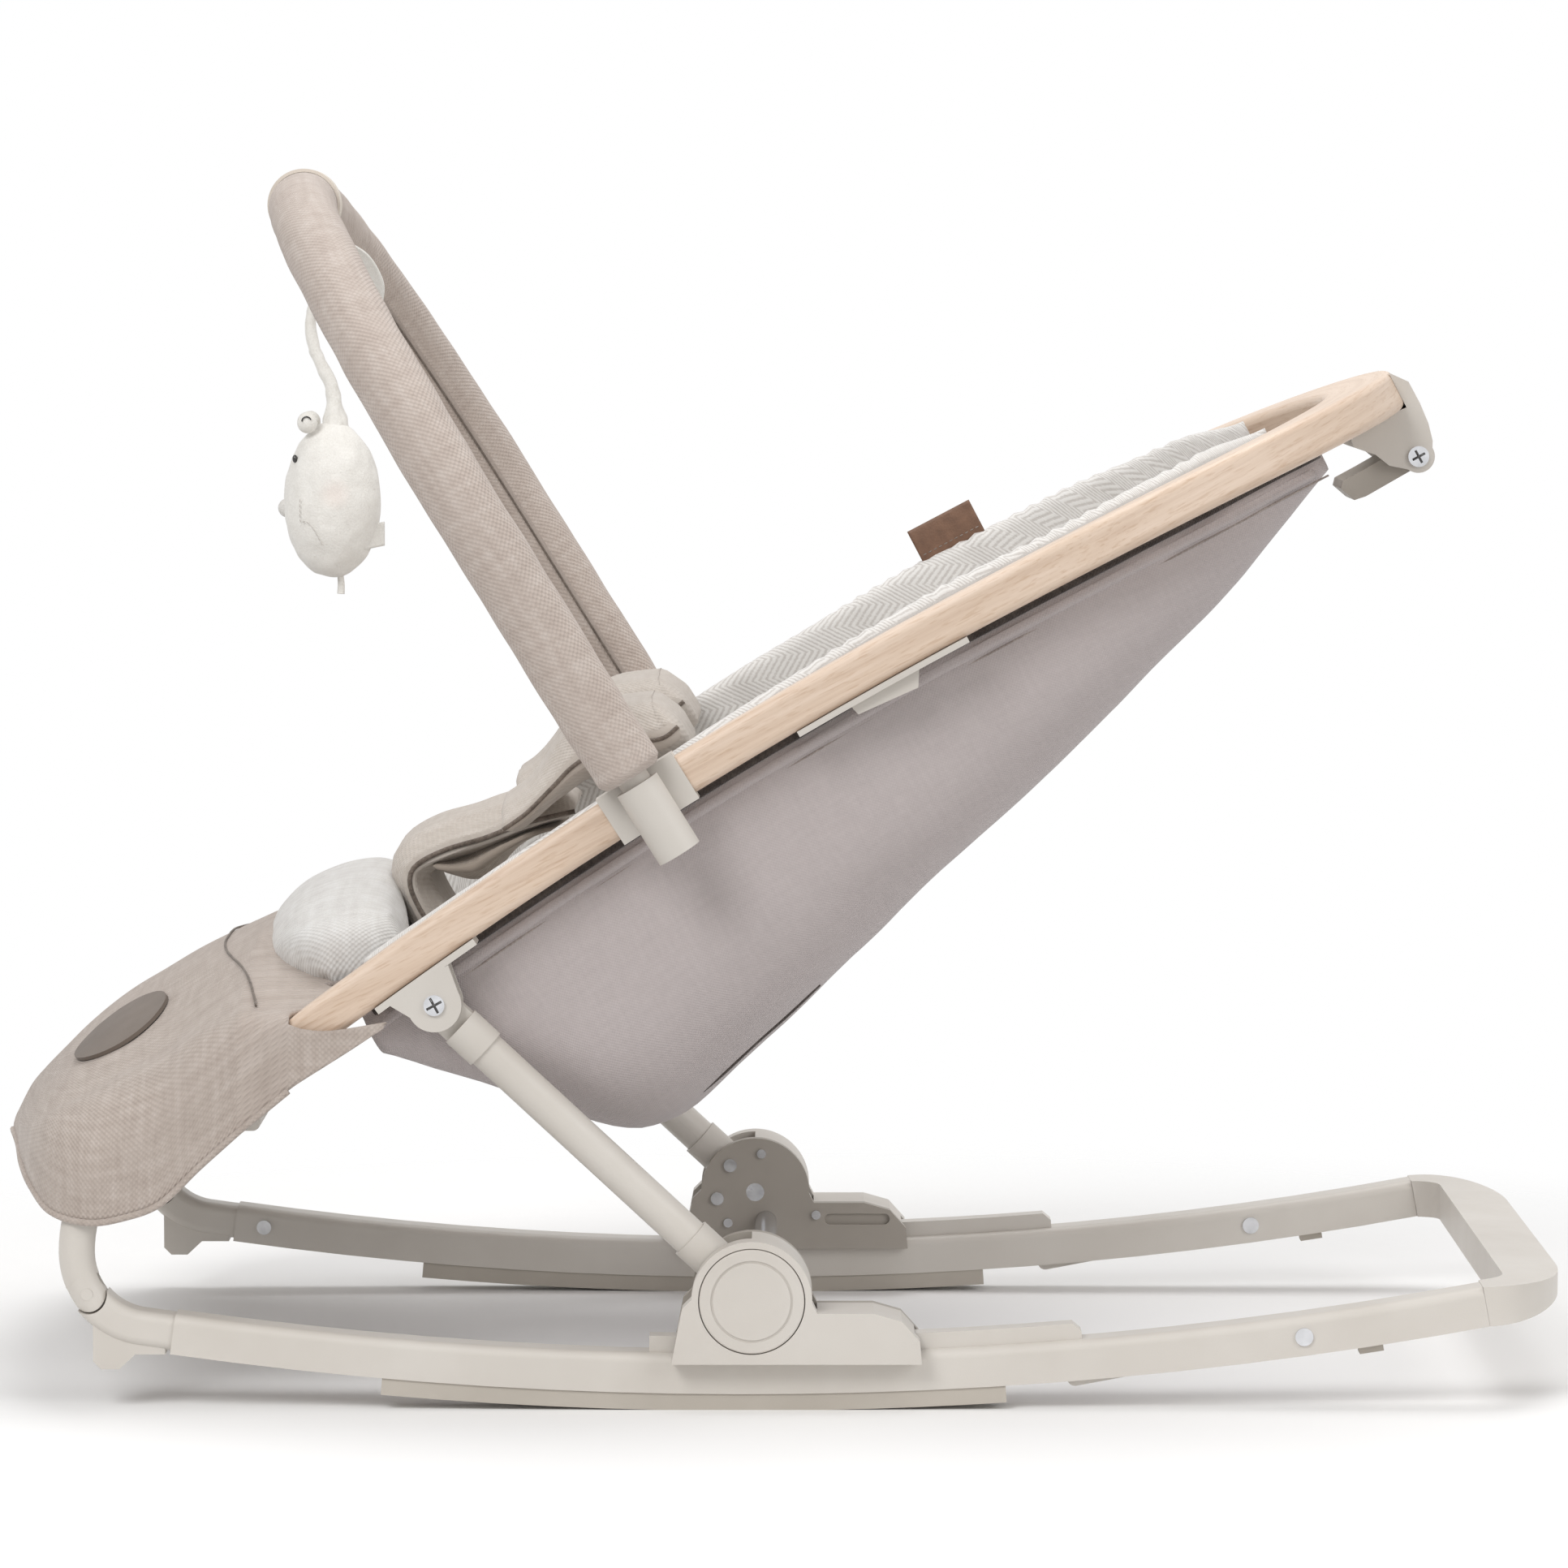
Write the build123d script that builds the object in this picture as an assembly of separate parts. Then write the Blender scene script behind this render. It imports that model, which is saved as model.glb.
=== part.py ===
from build123d import *
import os
from math import asin, cos, degrees, hypot, radians, sin, sqrt

# A baby bouncer seat on curved rocker rails, in millimetres.
# +Z is up, -X is the foot end, +X is the head end, and left is -Y.

# Rocker base
rocker_radius = 2050.0
rocker_low_x = -15.0
rest_flat_depth = 0.4
pad_thickness = 8.5
pad_width = 20.0
pad_front_x = -196.0
pad_rear_x = 116.0
rail_y = 184.0
rail_width = 22.0
rail_height = 20.0
rail_edge_radius = 5.0
rail_front_x = -302.0
rail_rear_x = 358.0
rear_end_x = 399.0
crossbar_inner_x = 367.0
crossbar_rear_z = 60.5
crossbar_rear_thickness = 11.0
crossbar_swell = 1.2
corner_outer_reach = 85.0
corner_inner_radius = 20.0
track_front_x = -63.0
track_rear_x = 156.0
track_height = 8.0
track_width = 11.5

# Small gaps: pieces that are fixed together, and pieces that pass each other
seat_gap = 0.1
slide_gap = 0.4
pin_gap = 0.03

# Kickstands that fold into the rear of the rails
kick_pivot_x = 264.0
kick_front_x = 147.0
kick_height = 8.0
kick_width = 11.0
kick_drop = 3.5
kick_channel_rear = 287.0
kick_pin_radius = 3.0
rivet_head_radius = 4.5
rivet_head_height = 1.2
bumper_length = 12.0
bumper_drop = 4.0
bumper_gap = 6.0
rail_screw_inset = 16.0
rail_screw_radius = 4.0
rail_screw_height = 1.6

# Front elbows, their feet, and the hinged front tube
elbow_straight = 16.0
elbow_width = 20.0
elbow_height = 18.0
front_bend_radius = 38.0
front_hinge_turn = 50.0
front_upright_turn = 82.0
front_tube_radius = 9.0
front_upper_radius = 70.0
front_upper_turn = 30.0
front_corner_radius = 40.0
front_tongue_thickness = 6.0
front_tongue_radius = 7.5
front_pin_radius = 3.0
front_foot_drop = 9.0
front_foot_length = 36.0
front_foot_inset = 4.0
front_foot_width = 16.0
yoke_x = -274.0
yoke_z = 149.0
yoke_depth = 34.0
yoke_height = 24.0
yoke_end_gap = 3.0
yoke_clamp_y = 123.0
yoke_clamp_width = 30.0
yoke_clamp_radius = 13.0

# Recline carriages and their hub buttons
hub_x = -11.0
hub_z = 56.5
hub_radius = 30.0
hub_bottom_z = 25.0
hub_outer_plate = 11.6
hub_inner_plate = 6.0
hub_front_x = -51.0
hub_shoulder_x = 21.5
hub_tail_x = 73.5
hub_tail_z = 50.5
hub_sole_gap = 1.3
hub_rim_thickness = 3.0
hub_toe_length = 15.0
hub_toe_height = 21.0
button_radius = 26.2
button_thickness = 4.0
button_travel = 3.5
button_ring_radius = 20.5
hub_axle_radius = 5.0
hub_axle_stand = 3.8
sync_rod_radius = 6.0
sync_rod_x = -5.0
sync_rod_z = 40.0
hub_screw_radius = 3.6
hub_screw_height = 1.5
hub_screw_depth = 3.5

# Legs between the seat brackets and the hubs
bracket_pivot_x = -168.5
bracket_pivot_z = 203.0
leg_radius = 9.5
leg_collar_radius = 10.8
leg_collar_start = 17.0
leg_collar_end = 34.0
leg_socket_wall = 5.0
leg_socket_end = 20.0
leg_lower_collar = 42.0
leg_tongue_thickness = 10.0
leg_tongue_radius = 9.3
leg_disc_radius = 13.0
leg_disc_thickness = 18.0
bracket_cheek = 5.0
bracket_lug_radius = 13.5
bracket_flange = 3.5
bracket_front_reach = 30.0
bracket_rear_reach = 30.0
pivot_bolt_radius = 4.0
pivot_bolt_head_radius = 5.2
pivot_bolt_head_height = 1.5

# Wooden seat frame: a closed loop at the head, in its own tilted frame
wood_slope = 27.8
wood_x = 14.6
wood_z = 350.0
wood_thickness = 20.5
wood_bow_radius = 2500.0
wood_crown_x = 105.0
wood_crown_z = 14.8
wood_foot_x = -345.0
wood_apex_x = 347.0
wood_apex_width = 38.0
wood_side_width = 20.5
wood_half_width = 195.29
wood_nose_turn = 60.0
wood_shoulder_radius = 346.0
wood_shoulder_turn = 28.0
wood_shoulder_step = 16.0
wood_side_radius = 6000.0
wood_side_turn = 5.6
wood_side_bow = 1.2
wood_edge_radius = 4.0

# Toy bar, its clips and the hanging toy
toy_bar_x = -67.5
toy_bar_z = 314.0
toy_bar_lean = 31.8
toy_bar_reach = 336.0
toy_bar_core_radius = 8.0
toy_bar_cover_radius = 17.3
toy_bar_cover_lift = 4.5
toy_bar_plug_depth = 34.0
sleeve_radius = 11.5
sleeve_drop = 40.0
sleeve_stand = 0.8
clip_length = 44.0
clip_wall = 3.0
clip_grip = 12.0

# Hanging toy
toy_hook_forward = 12.6
toy_hook_drop = 22.5
toy_ring_wall = 1.6
toy_ring_width = 16.0
toy_eye_radius = 5.0
toy_eye_y = 6.0
toy_eye_width = 3.0
toy_pin_radius = 2.0
toy_strap_half = 4.0
toy_half_width = 25.0
toy_top_z = 480.0
toy_bottom_z = 400.0
toy_ear_x = -13.0
toy_ear_y = 12.0
toy_ear_z = 471.0
toy_ear_radius = 6.0
toy_ear_half_height = 14.0
toy_nose_radius = 5.0
toy_nose_drop = 4.0
toy_tag_drop = 14.0
toy_tag_length = 12.0
toy_tag_height = 14.0
toy_tail_length = 10.0
toy_tail_radius = 2.0

# Sling and pad: place along the seat, share of the half width, depth
sling_half_width = 172.0
sling_stations = [
    (-268.0, 0.97, 57.0),
    (-221.0, 0.98, 110.0),
    (-172.0, 1.0, 154.0),
    (-93.0, 1.0, 143.0),
    (-3.0, 0.99, 111.0),
    (147.0, 0.925, 61.0),
    (222.0, 0.74, 42.0),
    (272.0, 0.48, 27.0),
]
sling_hem_drop = 10.0
sling_wall = 3.0
sling_corner = 70.0
pad_gap = 1.2
pad_wall = 14.0
pad_front_rise = 2.0
pad_head_rise = 8.0
pad_start_x = -255.0

# Leg cushion: place along the seat, share of the half width, low, shoulder and top heights
cushion_half_width = 147.0
cushion_stations = [
    (-304.0, 0.50, 6.0, 14.0, 18.0),
    (-293.0, 0.75, -2.0, 17.0, 26.0),
    (-276.0, 0.94, -8.0, 19.0, 31.0),
    (-260.0, 1.0, -12.0, 17.0, 30.0),
    (-247.0, 1.0, -15.0, 12.0, 25.0),
    (-238.0, 0.94, -19.0, 4.0, 16.0),
]

# Foot cover: place along X, share of the half width, low, shoulder and top heights, corner radius
boot_half_width = 196.9
boot_wall = 3.0
boot_stations = [
    (-402.0, 0.30, 101.0, 118.0, 122.0, 8.0),
    (-393.0, 0.64, 88.0, 124.0, 135.0, 28.0),
    (-381.0, 0.86, 92.0, 133.0, 150.0, 34.0),
    (-366.0, 0.97, 95.0, 144.0, 165.0, 40.0),
    (-341.0, 1.0, 98.0, 156.0, 186.0, 46.0),
    (-305.0, 1.0, 97.0, 176.0, 208.0, 42.0),
    (-266.0, 1.0, 136.0, 200.0, 227.0, 22.0),
]
boot_front_x = boot_stations[0][0]
boot_rear_x = boot_stations[-1][0]
boot_panels = 16
boot_mouth_drop = 24.0
boot_rear_cut = 12.0
boot_cheek_z = 176.0
badge_x = -333.7
badge_y = 90.0
badge_z = 179.0
badge_slope = 35.5
badge_roll = 15.2
badge_half_length = 28.0
badge_half_width = 31.0
badge_thickness = 2.0
badge_gap = 0.3
badge_reach = 14.0

# Tab, harness and hem clips
tab_x = 104.0
tab_y = 152.0
tab_length = 38.0
tab_height = 15.0
tab_thickness = 2.5
tab_stand = 0.8
crotch_points = [
    (-148.4, 176.6),
    (-158.0, 196.0),
    (-176.0, 226.0),
    (-190.0, 246.0),
    (-172.0, 259.0),
    (-134.0, 275.0),
    (-103.0, 284.0),
]
crotch_thickness = 8.0
crotch_width = 110.0
waist_points = [(-110.0, 291.2), (-90.0, 318.0), (-68.0, 332.0), (-50.0, 328.0)]
waist_thickness = 9.0
waist_inner_y = 30.0
waist_outer_y = 151.7
hem_clip_x = -9.0
hem_clip_length = 97.0
hem_clip_thickness = 3.0
hem_clip_drop = 10.0

# Head bracket with the storage latch
latch_pivot_x = 333.5
latch_pivot_z = 469.8
latch_tip_x = 294.0
latch_tip_z = 453.0
latch_half_width = 26.0
latch_hub_radius = 7.0
latch_head_radius = 5.4
latch_head_height = 1.6
latch_pin_radius = 3.0
latch_lug_radius = 8.5
head_bracket_cheek = 5.0
head_bracket_flange = 4.0
head_bracket_points = [
    (297.0, 486.0),
    (300.0, 474.5),
    (311.7, 470.5),
    (318.5, 465.0),
    (328.5, 463.0),
    (340.6, 469.6),
    (340.8, 478.0),
    (338.5, 487.0),
    (334.0, 497.5),
    (328.0, 508.5),
    (318.0, 513.0),
]

# Places that follow from the sizes above
rail_outer_y = rail_y + rail_width / 2
rail_inner_y = rail_y - rail_width / 2
rail_top_lift = pad_thickness + rail_height
track_top_lift = rail_top_lift + track_height
rocker_centre_z = rocker_radius - rest_flat_depth


def rocker_point(x, lift):
    """Point of the rocking arc under x, raised by lift towards its centre."""
    angle = asin((x - rocker_low_x) / rocker_radius)
    reach = rocker_radius - lift
    return (rocker_low_x + reach * sin(angle), rocker_centre_z - reach * cos(angle))


def rocker_band(x_front, x_rear, low, high):
    """Side outline between two lifts of the rocking arc, with radial ends."""
    x_mid = (x_front + x_rear) / 2
    bottom = ThreePointArc(rocker_point(x_front, low), rocker_point(x_mid, low), rocker_point(x_rear, low))
    top = ThreePointArc(rocker_point(x_rear, high), rocker_point(x_mid, high), rocker_point(x_front, high))
    return make_face([bottom, Line(bottom @ 1, top @ 0), top, Line(top @ 1, bottom @ 0)])


def slab(outline, y_low, y_high):
    """Extrude an XZ outline from y_low to y_high."""
    side = Plane((0, y_high, 0), x_dir=(1, 0, 0), z_dir=(0, -1, 0))
    return extrude(side * outline, amount=y_high - y_low)


def centred_slab(outline, y_mid, width):
    """Extrude an XZ outline over a width centred on y_mid."""
    return slab(outline, y_mid - width / 2, y_mid + width / 2)


def disc(x, z, radius):
    """Round XZ outline."""
    return Pos(x, z) * Circle(radius)


def cross_pin(x, z, radius, y_low, y_high):
    """Round bar along Y."""
    return slab(disc(x, z, radius), y_low, y_high)


def outline(*points):
    """Closed XZ outline with straight sides."""
    return make_face(Polyline(*points, close=True))


def capsule(x_a, z_a, x_b, z_b, radius):
    """Round-ended XZ bar between two points."""
    length = hypot(x_b - x_a, z_b - z_a)
    across = ((z_b - z_a) / length * radius, (x_a - x_b) / length * radius)
    body = outline(
        (x_a + across[0], z_a + across[1]),
        (x_b + across[0], z_b + across[1]),
        (x_b - across[0], z_b - across[1]),
        (x_a - across[0], z_a - across[1]),
    )
    return body + disc(x_a, z_a, radius) + disc(x_b, z_b, radius)


def long_edges(shape, least):
    """Edges longer than a given length."""
    return shape.edges().filter_by(lambda edge: edge.length > least)


def save(name, shape):
    """Write one node."""
    export_step(shape, f"parts/{name}.step")


def save_pair(name, left_shape):
    """Write a left node and its mirrored right node."""
    save(f"{name}_left", left_shape)
    save(f"{name}_right", mirror(left_shape, about=Plane.XZ))


def group(*shapes):
    """Separate solids that share one node."""
    return Compound(children=[solid for shape in shapes for solid in shape.solids()])


def mirrored_group(*left_shapes):
    """Left solids and their mirrored right ones in one node."""
    return group(*left_shapes, *[mirror(shape, about=Plane.XZ) for shape in left_shapes])


# Base
kick_pivot_z = rocker_point(kick_pivot_x, pad_thickness + rail_height / 2)[1]
kick_channel_lift = pad_thickness + rail_height / 2 + kick_height / 2 + slide_gap + 0.6


def rocker_rail():
    """Left rail with a channel for its kickstand."""
    rail = centred_slab(
        rocker_band(rail_front_x, rail_rear_x, pad_thickness, rail_top_lift),
        -rail_y,
        rail_width,
    )
    top_edges = long_edges(rail, rail_rear_x).sort_by(Axis.Z)[-2:]
    rail = fillet(top_edges, rail_edge_radius)
    channel = rocker_band(kick_front_x - 2, kick_channel_rear, pad_thickness - 2, kick_channel_lift)
    rail -= centred_slab(channel, -rail_y, kick_width + 2 * slide_gap)
    rail -= cross_pin(
        kick_pivot_x,
        kick_pivot_z,
        kick_pin_radius + pin_gap,
        -rail_outer_y - 1,
        -rail_inner_y + 1,
    )
    return rail


def rocker_pad():
    """Left rubber strip under the rail, cut flat where it rests."""
    strip = centred_slab(
        rocker_band(pad_front_x, pad_rear_x, 0, pad_thickness - seat_gap),
        -rail_y,
        pad_width,
    )
    below = Pos((pad_front_x + pad_rear_x) / 2, -rail_y, -50) * Box(
        pad_rear_x - pad_front_x,
        2 * pad_width,
        100,
    )
    return strip - below


def slide_track():
    """Left toothed strip on the rail that the carriage locks to."""
    track = centred_slab(
        rocker_band(track_front_x, track_rear_x, rail_top_lift, track_top_lift),
        -rail_y,
        track_width,
    )
    return chamfer(track.edges().filter_by(Axis.Y).group_by(Axis.Z)[-1], track_height / 2)


def crossbar_profile():
    """Side outline of the rear end: it levels out from the rail and thins towards the rear edge."""
    low_front = Vector(*rocker_point(rail_rear_x + seat_gap, pad_thickness))
    top_front = Vector(*rocker_point(rail_rear_x + seat_gap, rail_top_lift))
    top_rear = Vector(rear_end_x, crossbar_rear_z)
    low_rear = Vector(rear_end_x, crossbar_rear_z - crossbar_rear_thickness)
    top_mid = (top_front + top_rear) / 2 + Vector(0, crossbar_swell)
    low_mid = (low_front + low_rear) / 2 - Vector(0, crossbar_swell)
    return make_face(
        [
            ThreePointArc(low_front, low_mid, low_rear),
            Line(low_rear, top_rear),
            ThreePointArc(top_rear, top_mid, top_front),
            Line(top_front, low_front),
        ]
    )


def rear_crossbar():
    """Rounded rear end that joins both rails."""
    full_width = 2 * rail_outer_y
    lead_x = rail_rear_x - rail_height
    depth = rear_end_x - rail_rear_x
    start_y = rail_outer_y - corner_outer_reach
    plan = Pos(lead_x + rail_height / 2, 0) * Rectangle(rail_height, full_width)
    plan += Pos(rail_rear_x + depth / 2, 0) * Rectangle(depth, 2 * start_y)
    plan += Pos(rail_rear_x, -start_y) * Ellipse(depth, corner_outer_reach)
    plan += Pos(rail_rear_x, start_y) * Ellipse(depth, corner_outer_reach)
    gap_depth = crossbar_inner_x - lead_x
    gap = Pos(lead_x + gap_depth / 2, 0) * Rectangle(gap_depth, 2 * rail_inner_y)
    gap = fillet(gap.vertices().group_by(Axis.X)[-1], min(corner_inner_radius, 0.95 * gap_depth))
    bar = extrude(plan - gap, amount=4 * rail_top_lift)
    return bar & slab(crossbar_profile(), -full_width, full_width)


front_start = Vector(*rocker_point(rail_front_x, pad_thickness + rail_height / 2))
front_angle = asin((rail_front_x - rocker_low_x) / rocker_radius)
front_heading = Vector(-cos(front_angle), -sin(front_angle))
front_inward = Vector(-sin(front_angle), cos(front_angle))
bend_start = front_start + front_heading * elbow_straight
bend_centre = bend_start + front_inward * front_bend_radius


def bend_point(turn):
    """Point of the front bend after a turn in degrees."""
    angle = radians(turn)
    return bend_centre + (front_heading * sin(angle) - front_inward * cos(angle)) * front_bend_radius


def bend_heading(turn):
    """Direction of the front bend after a turn in degrees."""
    angle = radians(turn)
    return front_heading * cos(angle) + front_inward * sin(angle)


front_pivot = bend_point(front_hinge_turn)


def at_side(point, y):
    """Lift an XZ point to the plane of one rail."""
    return Vector(point.X, y, point.Y)


def front_elbow_bar():
    """Bent bar of the left elbow."""
    y = -rail_y
    start = at_side(front_start, y)
    turn_in = at_side(bend_start, y)
    middle = at_side(bend_point(front_hinge_turn / 2), y)
    pivot = at_side(front_pivot, y)
    path = Wire([Line(start, turn_in).edge(), ThreePointArc(turn_in, middle, pivot).edge()])
    section = Plane(start, x_dir=(0, 1, 0), z_dir=turn_in - start) * RectangleRounded(
        elbow_width,
        elbow_height,
        5,
    )
    return sweep(section, path=path)


def front_elbow():
    """Left elbow with the tongue of the front hinge."""
    y = -rail_y
    elbow = front_elbow_bar()
    knuckle_room = front_tube_radius + 1.0
    elbow -= cross_pin(front_pivot.X, front_pivot.Y, knuckle_room, y - elbow_width, y + elbow_width)
    inside = bend_point(front_hinge_turn - degrees(2 * front_tongue_radius / front_bend_radius))
    tongue = capsule(front_pivot.X, front_pivot.Y, inside.X, inside.Y, front_tongue_radius)
    elbow += centred_slab(tongue, y, front_tongue_thickness)
    return elbow - cross_pin(
        front_pivot.X,
        front_pivot.Y,
        front_pin_radius + pin_gap,
        y - elbow_width,
        y + elbow_width,
    )


def front_foot():
    """Left foot under the elbow that limits the forward rock."""
    top_z = front_start.Y - elbow_height / 2
    rear_x = front_start.X - front_foot_inset
    front_x = rear_x - front_foot_length
    low_z = top_z - front_foot_drop
    profile = outline(
        (rear_x, top_z - 1.5),
        (rear_x, top_z + 6),
        (front_x, top_z + 22),
        (front_x, low_z + 4),
        (front_x + 4, low_z),
        (front_x + 13, low_z),
        (front_x + 21, top_z - 1.5),
    )
    return centred_slab(profile, -rail_y, front_foot_width) - front_elbow_bar()


def front_pivot_pin():
    """Left pin of the front hinge."""
    half = front_tube_radius
    return cross_pin(front_pivot.X, front_pivot.Y, front_pin_radius, -rail_y - half, -rail_y + half)


def front_tube_edges():
    """Centre line of the left half of the front tube."""
    y = -rail_y
    low = at_side(front_pivot, y)
    bend_middle = at_side(bend_point((front_hinge_turn + front_upright_turn) / 2), y)
    upright = bend_point(front_upright_turn)
    upper_centre = upright + front_inward_at_upright() * front_upper_radius
    limb = [low, bend_middle, at_side(upright, y)]
    for share in (0.5, 1.0):
        angle = radians(front_upper_turn * share)
        heading = bend_heading(front_upright_turn)
        spot = upper_centre + (heading * sin(angle) - front_inward_at_upright() * cos(angle)) * front_upper_radius
        limb.append(at_side(spot, y))
    angle = radians(front_upper_turn)
    rise = bend_heading(front_upright_turn) * cos(angle) + front_inward_at_upright() * sin(angle)
    rise = Vector(rise.X, 0, rise.Y)
    inward = Vector(0, 1, 0)
    corner = limb[-1] + inward * front_corner_radius
    corner_middle = corner + (rise - inward) * (front_corner_radius * sqrt(0.5))
    corner_end = corner + rise * front_corner_radius
    return [
        ThreePointArc(limb[0], limb[1], limb[2]).edge(),
        ThreePointArc(limb[2], limb[3], limb[4]).edge(),
        ThreePointArc(limb[4], corner_middle, corner_end).edge(),
        Line(corner_end, Vector(corner_end.X, 0, corner_end.Z)).edge(),
    ]


def front_bar_place():
    """World X and Z of the tube's straight middle."""
    end = front_tube_edges()[-1] @ 1
    return (end.X, end.Z)


def front_tube():
    """Tube arch of the seat, hinged in both elbows, across the foot end."""
    y = -rail_y
    low = at_side(front_pivot, y)
    start_heading = bend_heading(front_hinge_turn)
    section = Plane(low, x_dir=(0, 1, 0), z_dir=(start_heading.X, 0, start_heading.Y)) * Circle(front_tube_radius)
    half = sweep(section, path=Wire(front_tube_edges()))
    knuckle = cross_pin(
        front_pivot.X,
        front_pivot.Y,
        front_tube_radius,
        y - front_tube_radius,
        y + front_tube_radius,
    )
    barrel = Plane(low, x_dir=(0, 1, 0), z_dir=(start_heading.X, 0, start_heading.Y))
    shell = barrel * Cylinder(front_tube_radius, 4 * front_tube_radius)
    half += knuckle & shell
    slot_radius = front_tube_radius + 2.0
    half -= centred_slab(
        disc(front_pivot.X, front_pivot.Y, slot_radius),
        y,
        front_tongue_thickness + 2 * slide_gap,
    )
    half -= cross_pin(front_pivot.X, front_pivot.Y, front_pin_radius + pin_gap, y - 20, y + 20)
    return half + mirror(half, about=Plane.XZ)


def front_inward_at_upright():
    """Direction from the tube to the centre of its upper bend."""
    heading = bend_heading(front_upright_turn)
    return Vector(heading.Y, -heading.X)


def front_yoke():
    """Beam between the wooden frame's foot ends, clamped to the front tube."""
    tube_x, tube_z = front_bar_place()
    inner = rail_y - wood_side_width / 2 - yoke_end_gap
    beam = centred_slab(Pos(yoke_x, yoke_z) * RectangleRounded(yoke_depth, yoke_height, 4), 0, 2 * inner)
    clamp = capsule(tube_x, tube_z, yoke_x, yoke_z, yoke_clamp_radius)
    for side in (-1, 1):
        beam += centred_slab(clamp, side * yoke_clamp_y, yoke_clamp_width)
    return beam - cross_pin(tube_x, tube_z, front_tube_radius + seat_gap, -inner - 1, inner + 1)


def kickstand():
    """Left stand, folded forward into the channel of its rail."""
    tip = rocker_point(kick_front_x + kick_height / 2, pad_thickness - kick_drop + kick_height / 2)
    bar = centred_slab(
        capsule(kick_pivot_x, kick_pivot_z, tip[0], tip[1], kick_height / 2),
        -rail_y,
        kick_width,
    )
    return bar - cross_pin(
        kick_pivot_x,
        kick_pivot_z,
        kick_pin_radius + pin_gap,
        -rail_outer_y,
        -rail_inner_y,
    )


def kickstand_pin():
    """Left rivet of the kickstand, with a head on both sides of the rail."""
    pin = cross_pin(kick_pivot_x, kick_pivot_z, kick_pin_radius, -rail_outer_y, -rail_inner_y)
    for y in (-rail_outer_y - rivet_head_height, -rail_inner_y):
        pin += cross_pin(kick_pivot_x, kick_pivot_z, rivet_head_radius, y, y + rivet_head_height)
    return pin


def rear_bumper():
    """Left stop under the rail behind the kickstand."""
    front = kick_channel_rear + bumper_gap
    band = rocker_band(front, front + bumper_length, pad_thickness - bumper_drop, pad_thickness - seat_gap)
    return centred_slab(band, -rail_y, kick_width)


def rail_screw():
    """Left screw on the inner side of the rail, behind the elbow seam."""
    x, z = rocker_point(rail_front_x + rail_screw_inset, pad_thickness + rail_height / 2)
    return cross_pin(x, z, rail_screw_radius, -rail_inner_y, -rail_inner_y + rail_screw_height)


# Carriages
plate_outer_y = rail_outer_y + slide_gap
plate_inner_y = rail_inner_y - slide_gap
hub_face_y = plate_outer_y + hub_outer_plate
cover_face_y = plate_inner_y - hub_inner_plate


def hub_outline():
    """Side outline of a carriage: a round hub on a base with a tail."""
    base = outline(
        (hub_front_x, hub_bottom_z),
        (hub_front_x + 5.5, hub_z - 3.5),
        (hub_x - hub_radius + 2, hub_z + 3),
        (hub_x + hub_radius - 2, hub_z + 3),
        (hub_shoulder_x, hub_tail_z),
        (hub_tail_x - 24, hub_tail_z),
        (hub_tail_x - 10, hub_tail_z - 4),
        (hub_tail_x - 1, hub_tail_z - 14),
        (hub_tail_x, hub_bottom_z),
    )
    return base + disc(hub_x, hub_z, hub_radius)


def hub_housing():
    """Left outer carriage shell with the recess of its button."""
    shell = slab(hub_outline(), -hub_face_y, -plate_outer_y)
    span = (-plate_outer_y, -plate_inner_y)
    sole = rocker_band(track_front_x, track_rear_x, 0, track_top_lift + hub_sole_gap)
    roof = hub_outline() & (Pos(hub_tail_x, hub_z) * Rectangle(2 * (hub_tail_x - hub_shoulder_x), 2 * hub_radius))
    toe = hub_outline() & (Pos(hub_front_x, hub_bottom_z) * Rectangle(2 * hub_toe_length, 2 * hub_toe_height))
    rim = disc(hub_x, hub_z, hub_radius) - disc(hub_x, hub_z, hub_radius - hub_rim_thickness)
    rim = rim & outline(
        (hub_x, hub_z),
        (hub_x + 2 * hub_radius, hub_z - hub_rim_thickness),
        (hub_x + 2 * hub_radius, hub_z + 2 * hub_radius),
        (hub_x, hub_z + 2 * hub_radius),
    )
    shell += slab(roof + toe - sole, *span)
    shell += slab(rim, *span)
    recess = button_thickness + button_travel
    shell -= cross_pin(hub_x, hub_z, button_radius + slide_gap, -hub_face_y, -hub_face_y + recess)
    return shell - cross_pin(hub_x, hub_z, hub_axle_radius + pin_gap, -hub_face_y, -plate_inner_y)


def hub_screw_places():
    """Screws on the inner cover: place and head radius."""
    large = hub_screw_radius
    small = hub_screw_radius * 0.7
    return [
        (hub_x - 13.8, hub_z + 15.0, large),
        (hub_x - 21.0, hub_z - 3.5, large),
        (hub_x + 3.5, hub_z + 21.5, small),
        (hub_x - 15.0, hub_z - 17.0, small),
        (hub_x + 33.8, hub_z - 12.6, small),
    ]


def hub_inner_cover():
    """Left inner carriage cover with holes for the axle and the sync rod."""
    cover = slab(hub_outline(), -plate_inner_y, -cover_face_y)
    cover -= cross_pin(hub_x, hub_z, hub_axle_radius + pin_gap, -plate_inner_y, -cover_face_y)
    cover -= cross_pin(sync_rod_x, sync_rod_z, sync_rod_radius + pin_gap, -plate_inner_y, -cover_face_y)
    slot = Pos(hub_shoulder_x + 24, hub_tail_z - 9) * SlotOverall(36, 6)
    cover -= slab(slot, -cover_face_y - 2, -cover_face_y)
    for x, z, radius in hub_screw_places():
        cover -= cross_pin(x, z, radius / 2, -cover_face_y - hub_screw_depth, -cover_face_y)
    return cover


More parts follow.
